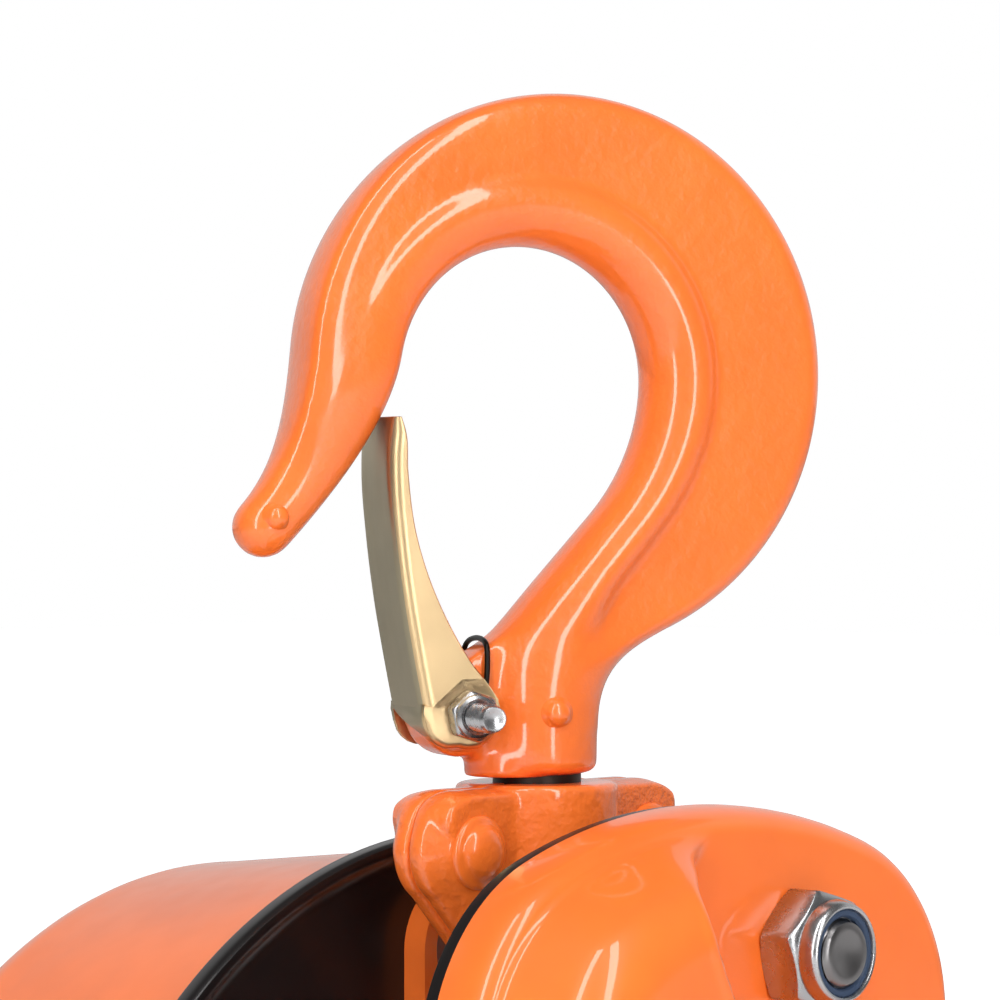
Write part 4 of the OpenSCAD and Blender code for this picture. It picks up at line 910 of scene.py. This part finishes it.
def build_wheel_cover():
    corner_r, corner_y = WHEEL_R - DRAFT - EDGE_R, WHEEL_DEPTH - EDGE_R
    face = [(58, 0), (56, 0.05), (53.5, 0.6), (51, 1.6), (49, 2.0), (30, 2.0), (0.05, 2.0)]
    outer = [(WHEEL_R + 0.1, 0), (WHEEL_R, 0.6)]
    outer += [(WHEEL_R - DRAFT * k, corner_y * k) for k in np.linspace(0.1, 1, 10)]
    outer += [(WHEEL_R - DRAFT - EDGE_R * (1 - math.cos(a)), corner_y + EDGE_R * math.sin(a))
              for a in np.radians(np.arange(6, 91, 6))]
    outer += [(r, WHEEL_DEPTH - s) for r, s in face]
    inner = [(r, WHEEL_DEPTH - s - WALL) for r, s in face[::-1]]
    inner += [(corner_r + (EDGE_R - WALL) * math.cos(a), corner_y + (EDGE_R - WALL) * math.sin(a))
              for a in np.radians(np.arange(90, 5, -6))]
    inner += [(WHEEL_R - WALL - DRAFT * k, corner_y * k) for k in np.linspace(1, 0, 11)]
    shell = lathe_y([(r, CASE_REAR + s) for r, s in inner + outer], (0, SHAFT_Z), 256)
    ob = placed("wheel_housing", [shell], "frame", sheet_paint, angle=40)
    for side in (-1, 1):
        p, f = slot_data(side)
        tool = make("cut", foot(p), f)
        fix_normals(tool)
        mod = ob.modifiers.new("slot", "BOOLEAN")
        mod.object = tool
        mod.operation = "DIFFERENCE"
        mod.solver = "EXACT"
        apply_modifiers(ob)
        bpy.data.objects.remove(tool)
    sharp_by_angle(ob, 35)
    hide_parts("wheel_cover")
    plate = [(9.0, 20.0), (60, 20.0), (88.8, 20.0), (90.4, 20.05), (91.8, 19.75), (92.7, 19.1), (93.3, 18.6),
             (94.1, 18.45), (94.9, 18.65), (95.35, 19.3), (95.4, 20), (95.4, 22.3), (95.1, 22.85),
             (94.6, CASE_REAR), (9.0, CASE_REAR)]
    placed("housing_backplate", [lathe_y(plate, (0, SHAFT_Z), 256, hoop=True)], "frame", black_paint,
           "wheel_case_plate")


build_hook()
build_latch()
build_spring()
build_latch_bolt()
build_yoke()
build_rivets()
build_gear_cover()
build_fasteners()
build_wheel_cover()


# ---------------------------------------------------------------- stage, light and camera

# Camera: level, 47 degrees round from the gear cover's face
AIM = np.array([0.7314, 0.6820, 0.0])
EYE = np.array([-0.5529, -0.5068, -0.0437])
RIGHT = np.array([AIM[1], -AIM[0], 0])
FLOOR = 6.0                                     # half width of the floor, metres
LAMP_AIM = np.array([0, 0, -0.06])
LAMP_DIST = 1.5


def build_floor():
    """White floor that shows bright to the camera alone."""
    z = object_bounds()[0][2]
    m, nt, links, b = material("floor", (0.88, 0.88, 0.88), 0, 0.9, Emission_Color=(1, 1, 1, 1))
    seen = nt.new("ShaderNodeLightPath").outputs["Is Camera Ray"]
    links.new(spread(nt, links, seen, 0.0, 0.82), b.inputs["Emission Strength"])
    corners = [(-FLOOR, -FLOOR, z), (FLOOR, -FLOOR, z), (FLOOR, FLOOR, z), (-FLOOR, FLOOR, z)]
    make("floor", corners, [(0, 1, 2, 3)], mat=m)


def build_world():
    """White to the camera; to the object, a dim room with a bright wall on the far side, 42 degrees high."""
    world = bpy.data.worlds.new("studio")
    bpy.context.scene.world = world
    world.use_nodes = True
    nt, links = world.node_tree.nodes, world.node_tree.links
    bg = nt["Background"]
    bg.inputs["Color"].default_value = (1, 1, 1, 1)
    seen = nt.new("ShaderNodeLightPath").outputs["Is Camera Ray"]
    tc, sx = nt.new("ShaderNodeTexCoord"), nt.new("ShaderNodeSeparateXYZ")
    links.new(tc.outputs["Generated"], sx.inputs["Vector"])

    def math_node(op, a, b):
        return combine(nt, links, op, a, b)
    behind = math_node("ADD", math_node("MULTIPLY", sx.outputs["X"], AIM[0]),
                       math_node("MULTIPLY", sx.outputs["Y"], AIM[1]))
    wall = math_node("MULTIPLY", spread(nt, links, behind, 0, 1, 0.05, 0.35),
                     spread(nt, links, sx.outputs["Z"], 1, 0, 0.66, 0.69))
    glow = math_node("ADD", math_node("MULTIPLY", wall, 0.5), 0.15)
    links.new(math_node("MAXIMUM", glow, seen), bg.inputs["Strength"])


def build_camera():
    camera = bpy.data.cameras.new("camera")
    camera.lens = 155.25
    camera.sensor_width = 36
    camera.clip_start, camera.clip_end = 0.01, 50
    cam = bpy.data.objects.new("camera", camera)
    bpy.context.scene.collection.objects.link(cam)
    cam.location = EYE
    cam.rotation_euler = Vector(AIM).to_track_quat("-Z", "Y").to_euler()
    bpy.context.scene.camera = cam


def lamp(name, turn, up, size, power, shine):
    """Softbox facing the object, turned about it from the camera's side, positive to the right."""
    a = math.radians(turn)
    way = -AIM * math.cos(a) + RIGHT * math.sin(a)
    pos = (LAMP_AIM + way * LAMP_DIST * math.cos(math.radians(up))
           + np.array([0, 0, LAMP_DIST * math.sin(math.radians(up))]))
    li = bpy.data.lights.new(name, "AREA")
    li.shape = "RECTANGLE"
    li.size, li.size_y = size
    li.energy = power
    ob = bpy.data.objects.new(name, li)
    bpy.context.scene.collection.objects.link(ob)
    ob.location = pos
    ob.rotation_euler = Vector(LAMP_AIM - pos).to_track_quat("-Z", "Y").to_euler()
    ob.visible_glossy = shine


build_floor()
build_world()
build_camera()
# Name, degrees round and up, size in metres, watts, shows in reflections
for row in (("left_strip", -22, 33, (0.20, 2.8), 15, True), ("right_strip", 29, 33, (0.24, 2.8), 17, True),
            ("top", 20, 62, (1.2, 1.0), 3, False), ("front", 5, 25, (1.2, 1.0), 4, False),
            ("side", -95, 20, (0.8, 1.2), 1.2, False), ("rim", 120, 20, (0.8, 1.2), 2, False)):
    lamp(*row)

bpy.context.scene.view_settings.view_transform = "Standard"
